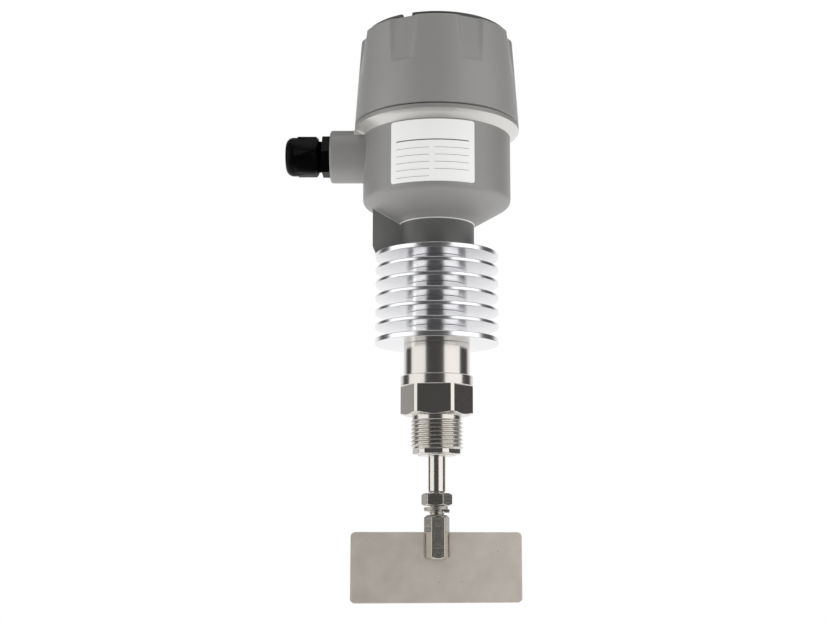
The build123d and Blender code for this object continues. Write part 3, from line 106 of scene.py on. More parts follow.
def gridPiece(name, points, material, body, wrapPath=False, capEnds=False):
    # points is a grid of places: rows follow the path, columns go once round it, and each face joins four neighbours;
    # the volume that the faces enclose is added up, and where it is negative they are turned to point outwards
    rows, columns = points.shape[:2]
    index = np.arange(rows * columns).reshape(rows, columns)
    here = index if wrapPath else index[:-1]
    nextRow = np.roll(index, -1, axis=0) if wrapPath else index[1:]
    quads = np.stack([here, np.roll(here, -1, axis=1), np.roll(nextRow, -1, axis=1), nextRow], axis=-1).reshape(-1, 4)
    vertices = points.reshape(-1, 3)
    a, b, c, d = (vertices[quads[:, i]] - vertices.mean(axis=0) for i in range(4))
    volume = (np.cross(b - a, c - a) * a).sum() + (np.cross(c - a, d - a) * a).sum()
    if volume < 0:
        quads = quads[:, ::-1]
    faces = quads.tolist()
    if capEnds:
        first, last = index[0].tolist(), index[-1].tolist()
        faces.append(first if volume < 0 else first[::-1])
        faces.append(last[::-1] if volume < 0 else last)
    mesh = bpy.data.meshes.new(name)
    mesh.from_pydata(vertices.tolist(), [], faces)
    mesh.polygons.foreach_set("use_smooth", np.ones(len(faces), dtype=bool))
    mesh.update()
    return finishPiece(name, mesh, material, body)


mergeM = 2e-6
sharpDeg = 28  # faces that meet at more than this keep a crisp edge


def smoothCopy(node, material, name):
    # the CAD node's own shape, with its loose triangles merged so that round walls shade round
    work = bmesh.new()
    work.from_mesh(frame["nodes"][node].data)
    bmesh.ops.remove_doubles(work, verts=work.verts, dist=mergeM)
    mesh = bpy.data.meshes.new(name)
    work.to_mesh(mesh)
    work.free()
    mesh.polygons.foreach_set("use_smooth", np.ones(len(mesh.polygons), dtype=bool))
    mesh.set_sharp_from_angle(angle=radians(sharpDeg))
    piece = finishPiece(name, mesh, material, bodyOfNode[node])
    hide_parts(node)


def roundedPath(corners, radii, closed, arcSteps=5):
    # straight runs between corners, each corner swapped for an arc that is tangent to both runs: it starts at
    # radius / tan(half the angle between the runs) from the corner, or at a share of a short run. A support point a
    # little along each run keeps that run's shading flat
    smallestMm, runShare, supportMm = 0.03, 0.45, 0.12
    corners = np.array(corners, dtype=float)
    count = len(corners)
    out = []
    for i in range(count):
        here = corners[i]
        if not closed and i in (0, count - 1):
            out.append(here)
            continue
        before, after = corners[i - 1], corners[(i + 1) % count]
        toBefore = (before - here) / np.linalg.norm(before - here)
        toAfter = (after - here) / np.linalg.norm(after - here)
        half = np.arccos(np.clip(toBefore @ toAfter, -1, 1)) / 2
        reach = min(max(radii[i], smallestMm) / tan(half), runShare * np.linalg.norm(before - here),
                    runShare * np.linalg.norm(after - here))
        radius = reach * tan(half)
        middle = toBefore + toAfter
        centre = here + middle / np.linalg.norm(middle) * sqrt(reach ** 2 + radius ** 2)
        start, end = here + toBefore * reach, here + toAfter * reach
        out.append(start + toBefore * min(supportMm, reach))
        spread = start - centre, end - centre
        swing = np.arccos(np.clip(spread[0] @ spread[1] / radius ** 2, -1, 1))
        for step in np.linspace(0, 1, arcSteps):
            weight = np.sin((1 - step) * swing), np.sin(step * swing)
            out.append(centre + (weight[0] * spread[0] + weight[1] * spread[1]) / np.sin(swing))
        out.append(end + toAfter * min(supportMm, reach))
    return np.array(out)


def dividePath(path, longest):
    # adds points along straight runs; longest is one length in mm, or a function of a run's two ends
    out = [path[0]]
    for before, after in zip(path[:-1], path[1:]):
        step = longest(before, after) if callable(longest) else longest
        steps = max(1, int(np.ceil(np.linalg.norm(after - before) / step)))
        out.extend(before + (after - before) * i / steps for i in range(1, steps + 1))
    return np.array(out)


def turnedPoints(path, angles, shape=None):
    # every path point (radius, height) goes once round Z: x = radius cos(angle), y = radius sin(angle); shape may
    # change radius and height by angle
    radius = np.repeat(path[:, :1], len(angles), axis=1)
    height = np.repeat(path[:, 1:], len(angles), axis=1)
    angle = np.repeat(angles[None, :], len(path), axis=0)
    if shape is not None:
        radius, height = shape(radius, height, angle)
    return np.stack([radius * np.cos(angle), radius * np.sin(angle), height], axis=-1) * mm


def turnedAbout(x, y, z, yawDeg):
    # places in mm on a piece's own axes, turned round Z and put in metres
    turn = radians(yawDeg)
    return np.stack([x * np.cos(turn) - y * np.sin(turn), x * np.sin(turn) + y * np.cos(turn), z], axis=-1) * mm


def softMin(a, b, blend):
    # the lower of the two, with the crossing rounded over about the blend's length:
    # minus blend times the logarithm of exp(-a / blend) + exp(-b / blend)
    return -blend * np.logaddexp(-a / blend, -b / blend)


drawnEdge, milledEdge = 70, 400  # powers: a drawn bar's edges are rounder than milled ones


def flatsRadius(angle, yawDeg, acrossFlats, power):
    # distance from the axis to a hexagon's sides: half the width over flats, divided by the root of the sum of the
    # powers of the six cosines from each flat's middle, which rounds the edges a little
    cosines = [np.maximum(np.cos(angle - radians(yawDeg - 90 + 60 * i)), 1e-6) for i in range(6)]
    return acrossFlats / 2 / sum(cosine ** power for cosine in cosines) ** (1 / power)


def hexAngles(yawDeg, cornerDeg=30.0, spreadDeg=2.6, flatSteps=13, cornerSteps=9):
    # columns crowd at the edges of a hexagon, or at both ends of the round strips between its flats
    flat = np.linspace(-cornerDeg + spreadDeg, cornerDeg - spreadDeg, flatSteps)
    edge = np.linspace(-spreadDeg, spreadDeg, cornerSteps)[1:-1]
    corners = [cornerDeg + edge]
    if cornerDeg < 30:
        strip = np.linspace(cornerDeg + spreadDeg, 60 - cornerDeg - spreadDeg, 4)
        corners += [strip, 60 - cornerDeg + edge]
    sector = np.concatenate([flat, *corners])
    return np.radians(np.concatenate([sector + 60 * i for i in range(6)]) + yawDeg - 90)


def columnAngles(degreesList):
    # columns in order round the axis, without those that nearly coincide
    nearestDeg = 0.05
    angles = np.sort(np.radians(np.concatenate(degreesList)) % (2 * pi))
    return angles[np.concatenate([[True], np.diff(angles) > radians(nearestDeg)])]


def threadDip(height, angle, pitch, depth, crestAt):
    # ridges that climb one pitch each turn: straight flanks between a narrow crest and a narrow root, both eased;
    # crestAt is a crest's height at the front
    crestShare, flankShare = 0.2, 0.62
    straight, easing = 0.85, 0.15
    phase = ((height - crestAt) / pitch - (angle + pi / 2) / (2 * pi)) % 1
    fromCrest = np.clip((1 - np.abs(2 * phase - 1) - crestShare) / flankShare, 0, 1)
    eased = fromCrest * fromCrest * (3 - 2 * fromCrest)
    return depth * (straight * fromCrest + easing * eased)


# camera, light and floor

studio = {
    "lensMm": 58.8,
    "sensorMm": 36,
    "tiltDeg": 9.9,
    "distanceM": 0.8516,
    "cameraHeightM": -0.0809,
    "axisRightPx": 23.3,
    "frameWidthPx": 827,
    "floorBelowPaddleM": 0.06,
    "floorRadiusM": 3.0,
    "floorSides": 96,
    "floorFadeM": (0.35, 0.85),
    "floorGlow": 0.85,
    "floorFrontM": (-0.2, 0.0),
    "floorFrontLevel": 0.06,
    # the world's levels, and the parts of its directions (Y from the camera's side to the back, Z upwards) over which
    # each one comes in
    "roomLevel": 0.07,
    "backdropSpan": (0.55, 0.8),
    "ceilingLevel": 0.35,
    "ceilingSpan": (0.35, 0.8),
    "fillLevels": (0.08, 1.0),
    "fillSpan": (-0.35, 0.5),
    "softboxes": {
        "softbox_left": {"azimuthDeg": -68, "distanceM": 1.1, "heightM": 0.3, "sizeM": (1.25, 0.95), "watts": 4.4},
        "softbox_right": {"azimuthDeg": 56, "distanceM": 1.1, "heightM": 0.3, "sizeM": (1.3, 1.0), "watts": 5.2},
    },
    "topLight": {"placeM": (0.1, -0.25, 1.3), "aimM": (0, 0, 0.1), "sizeM": (0.9, 0.7), "watts": 2.6},
}


def buildCamera():
    data = bpy.data.cameras.new("camera")
    data.lens = studio["lensMm"]
    data.sensor_width = studio["sensorMm"]
    data.shift_x = -studio["axisRightPx"] / studio["frameWidthPx"]
    camera = bpy.data.objects.new("camera", data)
    camera.location = (0, -studio["distanceM"], studio["cameraHeightM"])
    camera.rotation_euler = (radians(90 + studio["tiltDeg"]), 0, 0)
    bpy.context.scene.collection.objects.link(camera)
    bpy.context.scene.camera = camera


def addLamp(name, place, aim, size, watts):
    data = bpy.data.lights.new(name, "AREA")
    data.shape = "RECTANGLE"
    data.size, data.size_y = size
    data.energy = watts
    lamp = bpy.data.objects.new(name, data)
    lamp.location = place
    direction = np.array(aim) - np.array(place)
    lamp.rotation_euler = (atan2(np.hypot(direction[0], direction[1]), -direction[2]), 0,
                           atan2(direction[1], direction[0]) - pi / 2)
    bpy.context.scene.collection.objects.link(lamp)


def buildWorld():
    world = bpy.data.worlds.new("studio")
    bpy.context.scene.world = world
    world.use_nodes = True
    tree = world.node_tree
    tree.nodes.clear()
    rays = addNode(tree, "LightPath")
    place = addNode(tree, "TexCoord")
    split = addNode(tree, "SeparateXYZ", links={"Vector": place.outputs["Generated"]})
    # a white backdrop behind the object, a pale ceiling, a dark room on the camera's side
    low, high = studio["backdropSpan"]
    backdrop = addNode(tree, "MapRange", {"From Min": low, "From Max": high, "To Min": 0.0, "To Max": 1.0},
                       {"Value": split.outputs["Y"]}, clamp=True)
    low, high = studio["ceilingSpan"]
    ceiling = addNode(tree, "MapRange", {"From Min": low, "From Max": high, "To Min": studio["roomLevel"],
                                         "To Max": studio["ceilingLevel"]}, {"Value": split.outputs["Z"]}, clamp=True)
    mirrored = addNode(tree, "Math", links={0: backdrop.outputs["Result"], 1: ceiling.outputs["Result"]},
                       operation="MAXIMUM")
    # soft light also comes from the sides and the back, where a mirror reflection sees the dark room
    fillFront, fillBack = studio["fillLevels"]
    low, high = studio["fillSpan"]
    fill = addNode(tree, "MapRange", {"From Min": low, "From Max": high, "To Min": fillFront, "To Max": fillBack},
                   {"Value": split.outputs["Y"]}, clamp=True)
    soft = addNode(tree, "Math", {0: 1.0}, {1: rays.outputs["Is Glossy Ray"]}, operation="SUBTRACT")
    softFill = addNode(tree, "Math", links={0: fill.outputs["Result"], 1: soft.outputs[0]}, operation="MULTIPLY")
    level = addNode(tree, "Math", links={0: mirrored.outputs[0], 1: softFill.outputs[0]}, operation="MAXIMUM")
    room = addNode(tree, "Background", {"Color": linear("#FFFFFF")}, {"Strength": level.outputs[0]})
    white = addNode(tree, "Background", {"Color": linear("#FFFFFF"), "Strength": 1.0})
    seen = addNode(tree, "MixShader", links={0: rays.outputs["Is Camera Ray"], 1: room.outputs[0],
                                             2: white.outputs[0]})
    addNode(tree, "OutputWorld", links={"Surface": seen.outputs[0]})


def buildFloor():
    # a round sheet of white paper, which glows a little and whose rim fades into the white behind it
    lowest = float(cadBounds[0][2]) - studio["floorBelowPaddleM"]
    angles = np.linspace(0, 2 * pi, studio["floorSides"], endpoint=False)
    ring = np.stack([np.cos(angles), np.sin(angles)], axis=-1) * studio["floorRadiusM"]
    mesh = bpy.data.meshes.new("studio_floor")
    mesh.from_pydata([(*place, lowest) for place in ring.tolist()], [], [tuple(range(len(angles)))])
    floor = bpy.data.objects.new("studio_floor", mesh)
    bpy.context.scene.collection.objects.link(floor)
    material, tree, shader = newMaterial("white_paper_sweep", Base_Color=linear("#EDEDEC"), Roughness=0.85)
    shader.inputs["Emission Color"].default_value = linear("#FFFFFF")
    shader.inputs["Emission Strength"].default_value = studio["floorGlow"]
    place = addNode(tree, "TexCoord").outputs["Object"]
    split = addNode(tree, "SeparateXYZ", links={"Vector": place})
    level = addNode(tree, "CombineXYZ", links={"X": split.outputs["X"], "Y": split.outputs["Y"]})
    reach = addNode(tree, "VectorMath", links={0: level.outputs[0]}, operation="LENGTH")
    fadeNear, fadeFar = studio["floorFadeM"]
    fade = addNode(tree, "MapRange", {"From Min": fadeNear, "From Max": fadeFar}, {"Value": reach.outputs["Value"]},
                   interpolation_type="SMOOTHSTEP")
    # a mirror reflection sees white paper behind the object, and in front of it a floor as dark as the room
    rays = addNode(tree, "LightPath")
    frontFar, frontNear = studio["floorFrontM"]
    front = addNode(tree, "MapRange", {"From Min": frontFar, "From Max": frontNear,
                                       "To Min": studio["floorFrontLevel"]},
                    {"Value": split.outputs["Y"]}, interpolation_type="SMOOTHSTEP")
    soft = addNode(tree, "Math", {0: 1.0}, {1: rays.outputs["Is Glossy Ray"]}, operation="SUBTRACT")
    seen = addNode(tree, "Math", links={0: front.outputs["Result"], 1: soft.outputs[0]}, operation="MAXIMUM")
    white = addNode(tree, "Emission", {"Color": linear("#FFFFFF")}, {"Strength": seen.outputs[0]})
    bare = addNode(tree, "Math", links={0: fade.outputs["Result"], 1: rays.outputs["Is Glossy Ray"]},
                   operation="MAXIMUM")
    mixed = addNode(tree, "MixShader", links={0: bare.outputs[0], 1: shader.outputs[0], 2: white.outputs[0]})
    tree.links.new(mixed.outputs[0], tree.nodes["Material Output"].inputs["Surface"])
    paintPiece(floor, material)


def buildStudio():
    buildCamera()
    buildWorld()
    buildFloor()
    for name, box in studio["softboxes"].items():
        turn = radians(box["azimuthDeg"])
        place = (box["distanceM"] * np.sin(turn), -box["distanceM"] * np.cos(turn), box["heightM"])
        addLamp(name, place, (0, 0, box["heightM"]), box["sizeM"], box["watts"])
    top = studio["topLight"]
    addLamp("top_light", top["placeM"], top["aimM"], top["sizeM"], top["watts"])
    bpy.context.scene.view_settings.view_transform = "Standard"
    print("camera, light and floor placed")


# materials

# a Mix node takes its two colours at sockets 6 and 7, and gives the mixed one at output 2
noiseSpan = {"From Min": 0.3, "From Max": 0.7}  # most of a noise texture's values lie between these


def turnedCoordinates(tree):
    # (distance from the shaft, 0, height): a pattern on it is the same all the way round, as a lathe leaves it
    place = addNode(tree, "TexCoord")
    split = addNode(tree, "SeparateXYZ", links={"Vector": place.outputs["Object"]})
    level = addNode(tree, "CombineXYZ", links={"X": split.outputs["X"], "Y": split.outputs["Y"]})
    radius = addNode(tree, "VectorMath", links={0: level.outputs[0]}, operation="LENGTH")
    return addNode(tree, "CombineXYZ", links={"X": radius.outputs["Value"], "Z": split.outputs["Z"]}).outputs[0]


def roughAndBump(tree, shader, roughness, swing, pattern, relief, factor=None):
    # roughness goes with a pattern, from a lower to a higher share of its value, and a factor changes it by place;
    # relief is a shallow bump: its own pattern, its strength and its depth
    low, high = swing
    rough = addNode(tree, "MapRange", {**noiseSpan, "To Min": roughness * low, "To Max": roughness * high},
                    {"Value": pattern.outputs["Fac"]})
    if factor:
        rough = addNode(tree, "Math", links={0: rough.outputs["Result"], 1: factor.outputs["Result"]},
                        operation="MULTIPLY")
    tree.links.new(rough.outputs[0], shader.inputs["Roughness"])
    reliefPattern, strength, depthMm = relief
    bump = addNode(tree, "Bump", {"Strength": strength, "Distance": depthMm * mm},
                   {"Height": reliefPattern.outputs["Fac"]})
    tree.links.new(bump.outputs[0], shader.inputs["Normal"])


def turnedMetal(name, colour, roughness, lineMm, lineDepthMm, anisotropic):
    # cut on a lathe: bright metal with fine rings, so highlights stretch across the rings. Real feed lines are about
    # 0.1 mm apart and too fine to show, so they are drawn coarser; over a wider stretch the tone shifts a little
    broadLines, darkest = 14, 0.94
    material, tree, shader = newMaterial(name, Metallic=1.0, Anisotropic=anisotropic)
    lathe = turnedCoordinates(tree)
    rings = addNode(tree, "TexNoise", {"Scale": 1 / (lineMm * mm), "Detail": 2.0, "Roughness": 0.6}, {"Vector": lathe})
    broad = addNode(tree, "TexNoise", {"Scale": 1 / (lineMm * broadLines * mm), "Detail": 1.0}, {"Vector": lathe})
    shade = addNode(tree, "Mix", {6: linear(colour, darkest), 7: linear(colour)}, {0: broad.outputs["Fac"]},
                    data_type="RGBA")
    tree.links.new(shade.outputs[2], shader.inputs["Base Color"])
    tangent = addNode(tree, "Tangent", direction_type="RADIAL", axis="Z")
    tree.links.new(tangent.outputs[0], shader.inputs["Tangent"])
    roughAndBump(tree, shader, roughness, (0.8, 1.25), rings, (rings, 0.3, lineDepthMm))
    return material


def castPaint(name, colour, metallic, roughness, bands=()):
    # powder coat or enamel on a die casting, or its own skin: satin, with a fine orange peel and a few faint tone
    # shifts. A band is a box of places in a colour of its own: a turned bright band, painted shade, or a painted
    # highlight
    peelMm, cloudMm = 0.9, 26
    material, tree, shader = newMaterial(name, Metallic=metallic, IOR=1.5)
    place = addNode(tree, "TexCoord").outputs["Object"]
    peel = addNode(tree, "TexNoise", {"Scale": 1 / (peelMm * mm), "Detail": 3.0, "Roughness": 0.55}, {"Vector": place})
    cloud = addNode(tree, "TexNoise", {"Scale": 1 / (cloudMm * mm), "Detail": 3.0, "Roughness": 0.6},
                    {"Vector": place})
    tone = addNode(tree, "Mix", {6: linear(colour, 0.94), 7: linear(colour, 1.06)}, {0: cloud.outputs["Fac"]},
                   data_type="RGBA").outputs[2]
    smooth = None
    for band in bands:
        inside = None
        split = addNode(tree, "SeparateXYZ", links={"Vector": place})
        for axis, (low, high) in band["boxMm"].items():
            near = addNode(tree, "Math", {1: (low + high) / 2 * mm, 2: (high - low) / 2 * mm},
                           {0: split.outputs[axis]}, operation="COMPARE")
            inside = near if inside is None else addNode(
                tree, "Math", links={0: inside.outputs[0], 1: near.outputs[0]}, operation="MULTIPLY")
        tone = addNode(tree, "Mix", {7: linear(band["colour"])}, {0: inside.outputs[0], 6: tone},
                       data_type="RGBA").outputs[2]
        if "metallic" in band:
            shine = addNode(tree, "MapRange", {"To Min": metallic, "To Max": band["metallic"]},
                            {"Value": inside.outputs[0]})
            tree.links.new(shine.outputs["Result"], shader.inputs["Metallic"])
            smooth = addNode(tree, "MapRange", {"To Min": 1.0, "To Max": band["roughness"] / roughness},
                             {"Value": inside.outputs[0]})
    tree.links.new(tone, shader.inputs["Base Color"])
    roughAndBump(tree, shader, roughness, (0.9, 1.12), peel, (peel, 0.2, 0.05), smooth)
    return material


def sheetMetal(name, colour, roughness, metallic=1.0):
    # rolled, welded or plated steel: cloudy, with a few small dark specks. A pickled or heat-tinted skin is matt and
    # scatters light, so it counts as less metallic
    cloudMm, grainMm, speckApartMm = 9, 0.8, 11.0
    speckEdge = {"From Min": 0.022, "From Max": 0.036}  # a speck's radius, as shares of the distance between them
    material, tree, shader = newMaterial(name, Metallic=metallic)
    place = addNode(tree, "TexCoord").outputs["Object"]
    cloud = addNode(tree, "TexNoise", {"Scale": 1 / (cloudMm * mm), "Detail": 5.0, "Roughness": 0.65},
                    {"Vector": place})
    grain = addNode(tree, "TexNoise", {"Scale": 1 / (grainMm * mm), "Detail": 2.0}, {"Vector": place})
    speck = addNode(tree, "TexVoronoi", {"Scale": 1 / (speckApartMm * mm)}, {"Vector": place})
    shade = addNode(tree, "Mix", {6: linear(colour, 0.88), 7: linear(colour, 1.12)}, {0: cloud.outputs["Fac"]},
                    data_type="RGBA")
    mask = addNode(tree, "MapRange", {**speckEdge, "To Min": 1.0, "To Max": 0.0}, {"Value": speck.outputs["Distance"]})
    spotted = addNode(tree, "Mix", {7: linear(colour, 0.45)}, {0: mask.outputs["Result"], 6: shade.outputs[2]},
                      data_type="RGBA")
    tree.links.new(spotted.outputs[2], shader.inputs["Base Color"])
    roughAndBump(tree, shader, roughness, (0.85, 1.15), cloud, (grain, 0.2, 0.03))
    return material


def mouldedPlastic(name, colour, roughness):
    # injection-moulded nylon or rubber: dull, with the fine grain of a spark-eroded mould
    grainMm = 0.6
    material, tree, shader = newMaterial(name, IOR=1.53, Specular_IOR_Level=0.07)
    place = addNode(tree, "TexCoord").outputs["Object"]
    grain = addNode(tree, "TexNoise", {"Scale": 1 / (grainMm * mm), "Detail": 3.0}, {"Vector": place})
    shade = addNode(tree, "Mix", {6: linear(colour, 0.85), 7: linear(colour, 1.25)}, {0: grain.outputs["Fac"]},
                    data_type="RGBA")
    tree.links.new(shade.outputs[2], shader.inputs["Base Color"])
    roughAndBump(tree, shader, roughness, (0.88, 1.12), grain, (grain, 0.2, 0.03))
    return material


labelPrint = {
    "radiusMm": 48.2,
    "yawDeg": -3.6,
    "middleMm": 159.9,
    "fibreMm": 0.7,
    "ink": "#55565A",
    # ruled lines: middle across and up from the plate's middle, half length and half thickness
    "rulesMm": [(0, 6.6, 23.5, 0.35),
                *((side * 12.6, 1.6 - 4.6 * row, 10.9, 0.12) for side in (-1, 1) for row in range(4)),
                (-12.6, -16.8, 10.9, 0.12)],
}


def ruledLabel(name, colour, roughness):
    # matt printed foil: pale and even, with ruled lines placed by the way round the casting and by height
    material, tree, shader = newMaterial(name, IOR=1.5)
    s = labelPrint
    place = addNode(tree, "TexCoord").outputs["Object"]
    split = addNode(tree, "SeparateXYZ", links={"Vector": place})
    back = addNode(tree, "Math", {1: -1.0}, {0: split.outputs["Y"]}, operation="MULTIPLY")
    turn = addNode(tree, "Math", links={0: split.outputs["X"], 1: back.outputs[0]}, operation="ARCTAN2")
    across = addNode(tree, "Math", {1: s["radiusMm"] * mm, 2: -radians(s["yawDeg"]) * s["radiusMm"] * mm},
                     {0: turn.outputs[0]}, operation="MULTIPLY_ADD")
    ink = None
    for middleAcross, middleUp, halfLong, halfThick in s["rulesMm"]:
        inLine = addNode(tree, "Math", {1: (s["middleMm"] + middleUp) * mm, 2: halfThick * mm},
                         {0: split.outputs["Z"]}, operation="COMPARE")
        inRun = addNode(tree, "Math", {1: middleAcross * mm, 2: halfLong * mm}, {0: across.outputs[0]},
                        operation="COMPARE")
        rule = addNode(tree, "Math", links={0: inLine.outputs[0], 1: inRun.outputs[0]}, operation="MULTIPLY")
        ink = rule if ink is None else addNode(tree, "Math", links={0: ink.outputs[0], 1: rule.outputs[0]},
                                               operation="MAXIMUM")
    fibre = addNode(tree, "TexNoise", {"Scale": 1 / (s["fibreMm"] * mm), "Detail": 2.0}, {"Vector": place})
    foil = addNode(tree, "Mix", {6: linear(colour, 0.97), 7: linear(colour, 1.02)}, {0: fibre.outputs["Fac"]},
                   data_type="RGBA")
    shade = addNode(tree, "Mix", {7: linear(s["ink"])}, {0: ink.outputs[0], 6: foil.outputs[2]}, data_type="RGBA")
    tree.links.new(shade.outputs[2], shader.inputs["Base Color"])
    rough = addNode(tree, "MapRange", {"To Min": roughness * 0.92, "To Max": roughness * 1.08},
                    {"Value": fibre.outputs["Fac"]})
    tree.links.new(rough.outputs["Result"], shader.inputs["Roughness"])
    return material


# after its name and colour, a paint takes how metallic it looks and its roughness; a turned metal takes its roughness,
# the spacing and depth of its lines in mm and how far highlights stretch; a sheet metal takes its roughness and, where
# it isn't 1, how metallic it looks; a plastic or the foil takes its roughness
finishes = {
    "satinPowderCoat": castPaint("satin_powder_coat", "#979694", 0.25, 0.45),
    "coverCoat": castPaint("powder_coat_with_painted_crown_shade", "#979694", 0.25, 0.45, [
        # a darker band over the crown ring: painted shade on its steep outer wall
        {"boxMm": {"Z": (248.6, 252.0)}, "colour": "#4C4C4B"},
    ]),
    # the turned flare; painted shade in the seam under the cover; painted highlights along the neck's top edge and up
    # the side block's edge; and a darker coat on the neck and side block, which paints in the shade under the cone
    "housingCoat": castPaint("powder_coat_with_turned_flare_and_painted_light", "#8E8D8B", 0.25, 0.45, [
        {"boxMm": {"X": (-53.7, 53.7), "Z": (180.5, 185.4)}, "colour": "#D2D1CE", "metallic": 0.6, "roughness": 0.32},
        # painted shade: a near-black band in the gap between the cover and the collar
        {"boxMm": {"Z": (188.1, 189.6)}, "colour": "#161616"},
        # painted highlights: thin bright bands on the edge round the neck's top and up the side block's edge
        {"boxMm": {"Z": (122.5, 123.1)}, "colour": "#E2E1DE"},
        {"boxMm": {"X": (-41.2, -22.0), "Y": (-5.45, -5.05), "Z": (122.8, 145.0)}, "colour": "#E2E1DE"},
        # a darker coat on the neck and side block, as painted shade under the cone's overhang
        {"boxMm": {"Z": (90.0, 122.5)}, "colour": "#666665"},
        {"boxMm": {"X": (-41.6, -22.0), "Y": (-5.05, 5.05), "Z": (90.0, 145.0)}, "colour": "#666665"},
    ]),
    "turnedAluminium": turnedMetal("turned_aluminium", "#F1F1F3", 0.2, 0.35, 0.012, 0.5),
    "turnedStainless": turnedMetal("turned_stainless", "#D6D2CC", 0.17, 0.3, 0.004, 0.4),
    "drawnStainless": turnedMetal("drawn_stainless_bar", "#CBC6BE", 0.23, 1.2, 0.001, 0.3),
    "pickledSheet": sheetMetal("pickled_stainless_sheet", "#D8D0C6", 0.38, 0.6),
    "weldBead": sheetMetal("heat_tinted_weld", "#A09A92", 0.42, 0.6),
    "zincSteel": sheetMetal("zinc_plated_steel", "#B9BBBD", 0.3),
    "springSteel": turnedMetal("bright_spring_steel", "#BDB9B2", 0.42, 0.5, 0.004, 0.0),
    "groundSteel": turnedMetal("ground_bearing_steel", "#CFCFD0", 0.1, 0.4, 0.005, 0.2),
    "dieCast": castPaint("die_cast_zinc", "#A3A5A8", 0.7, 0.4),
    "motorPaint": castPaint("stove_enamel", "#3A3D40", 0.0, 0.35),
    "bronze": turnedMetal("sintered_bronze", "#B08A55", 0.35, 0.4, 0.01, 0.1),
    "brass": turnedMetal("machined_brass", "#C9A461", 0.25, 0.4, 0.01, 0.2),
    "blackNylon": mouldedPlastic("black_nylon", "#030304", 0.4),
    "blackRubber": mouldedPlastic("black_rubber", "#121212", 0.7),
    "switchPlastic": mouldedPlastic("phenolic_switch_case", "#232427", 0.5),
    "terminalPlastic": mouldedPlastic("terminal_polyamide", "#8D9290", 0.5),
    "labelFoil": ruledLabel("matt_label_foil", "#F1F1EF", 0.5),
}
finishOfSlot = {
    "cast_paint": "satinPowderCoat", "label_foil": "labelFoil", "black_nylon": "blackNylon",
    "turned_aluminium": "turnedAluminium", "turned_steel": "turnedStainless", "sheet_steel": "pickledSheet",
    "bearing_steel": "groundSteel", "black_rubber": "blackRubber", "zinc_steel": "zincSteel", "die_cast": "dieCast",
    "motor_paint": "motorPaint", "bronze": "bronze", "brass": "brass", "switch_plastic": "switchPlastic",
    "terminal_plastic": "terminalPlastic", "spring_steel": "springSteel",
}


def paintFrame():
    for node, item in frame["nodes"].items():
        paintPiece(item, finishes[finishOfSlot[slotOfNode[node]]])
    print("CAD nodes painted")


# process fitting: a profile turned round Z, cut back to a hexagon low down, with a helical thread under it

longRowMm = 4.0  # rows may be this far apart where a profile runs straight

fitting = {
    "sectionMm": [(8, 1.85), (11.03, 1.85), (11.03, -11.45), (12, -11.45), (12, -21.45), (15.42, -21.45),
                  (16.6, -20.25), (16.6, -4.2), (15.72, -3.0), (15.72, 0), (20.6, 0), (23, 1.2), (23, 24.2),
                  (22.5, 24.7), (21, 24.7), (21, 45), (15, 45), (15, 59), (8, 59)],
    "radiiMm": [0.2, 0.1, 0.1, 0.1, 0.1, 0.2, 0.2, 0.2, 0.3, 0.4, 0.15, 0.3, 0.2, 0.2, 0.3, 0.3, 0.1, 0.3, 0.2],
    "collarMm": 23.0,
    "hexAcrossFlatsMm": 41.0,
    "hexTopMm": 18.3,
    "hexFromMm": 18,  # what lies further out than this is cut to the hexagon
    "hexYawDeg": -5.0,
    "ledgeRowsMm": (-0.1, 0.0, 0.02, 0.12),  # rows about the hexagon's top, for the square step under the collar
    "chamferFromMm": 20,
    "chamferTopMm": 1.4,
    "chamferRowMm": 0.2,
    "threadTopMm": -3.0,
    "threadEndMm": -21.3,
    "threadCrestMm": 16.6,
    "threadFromMm": (15.45, 15.8),  # the thread cuts what lies further out than the first; rows crowd past the second
    "threadRowMm": 0.13,
    "pitchMm": 2.53,
    "crestMm": -8.3,
    "depthMm": 1.4,
    "runoutMm": 0.5,
    "edgeBlendMm": 0.03,
}


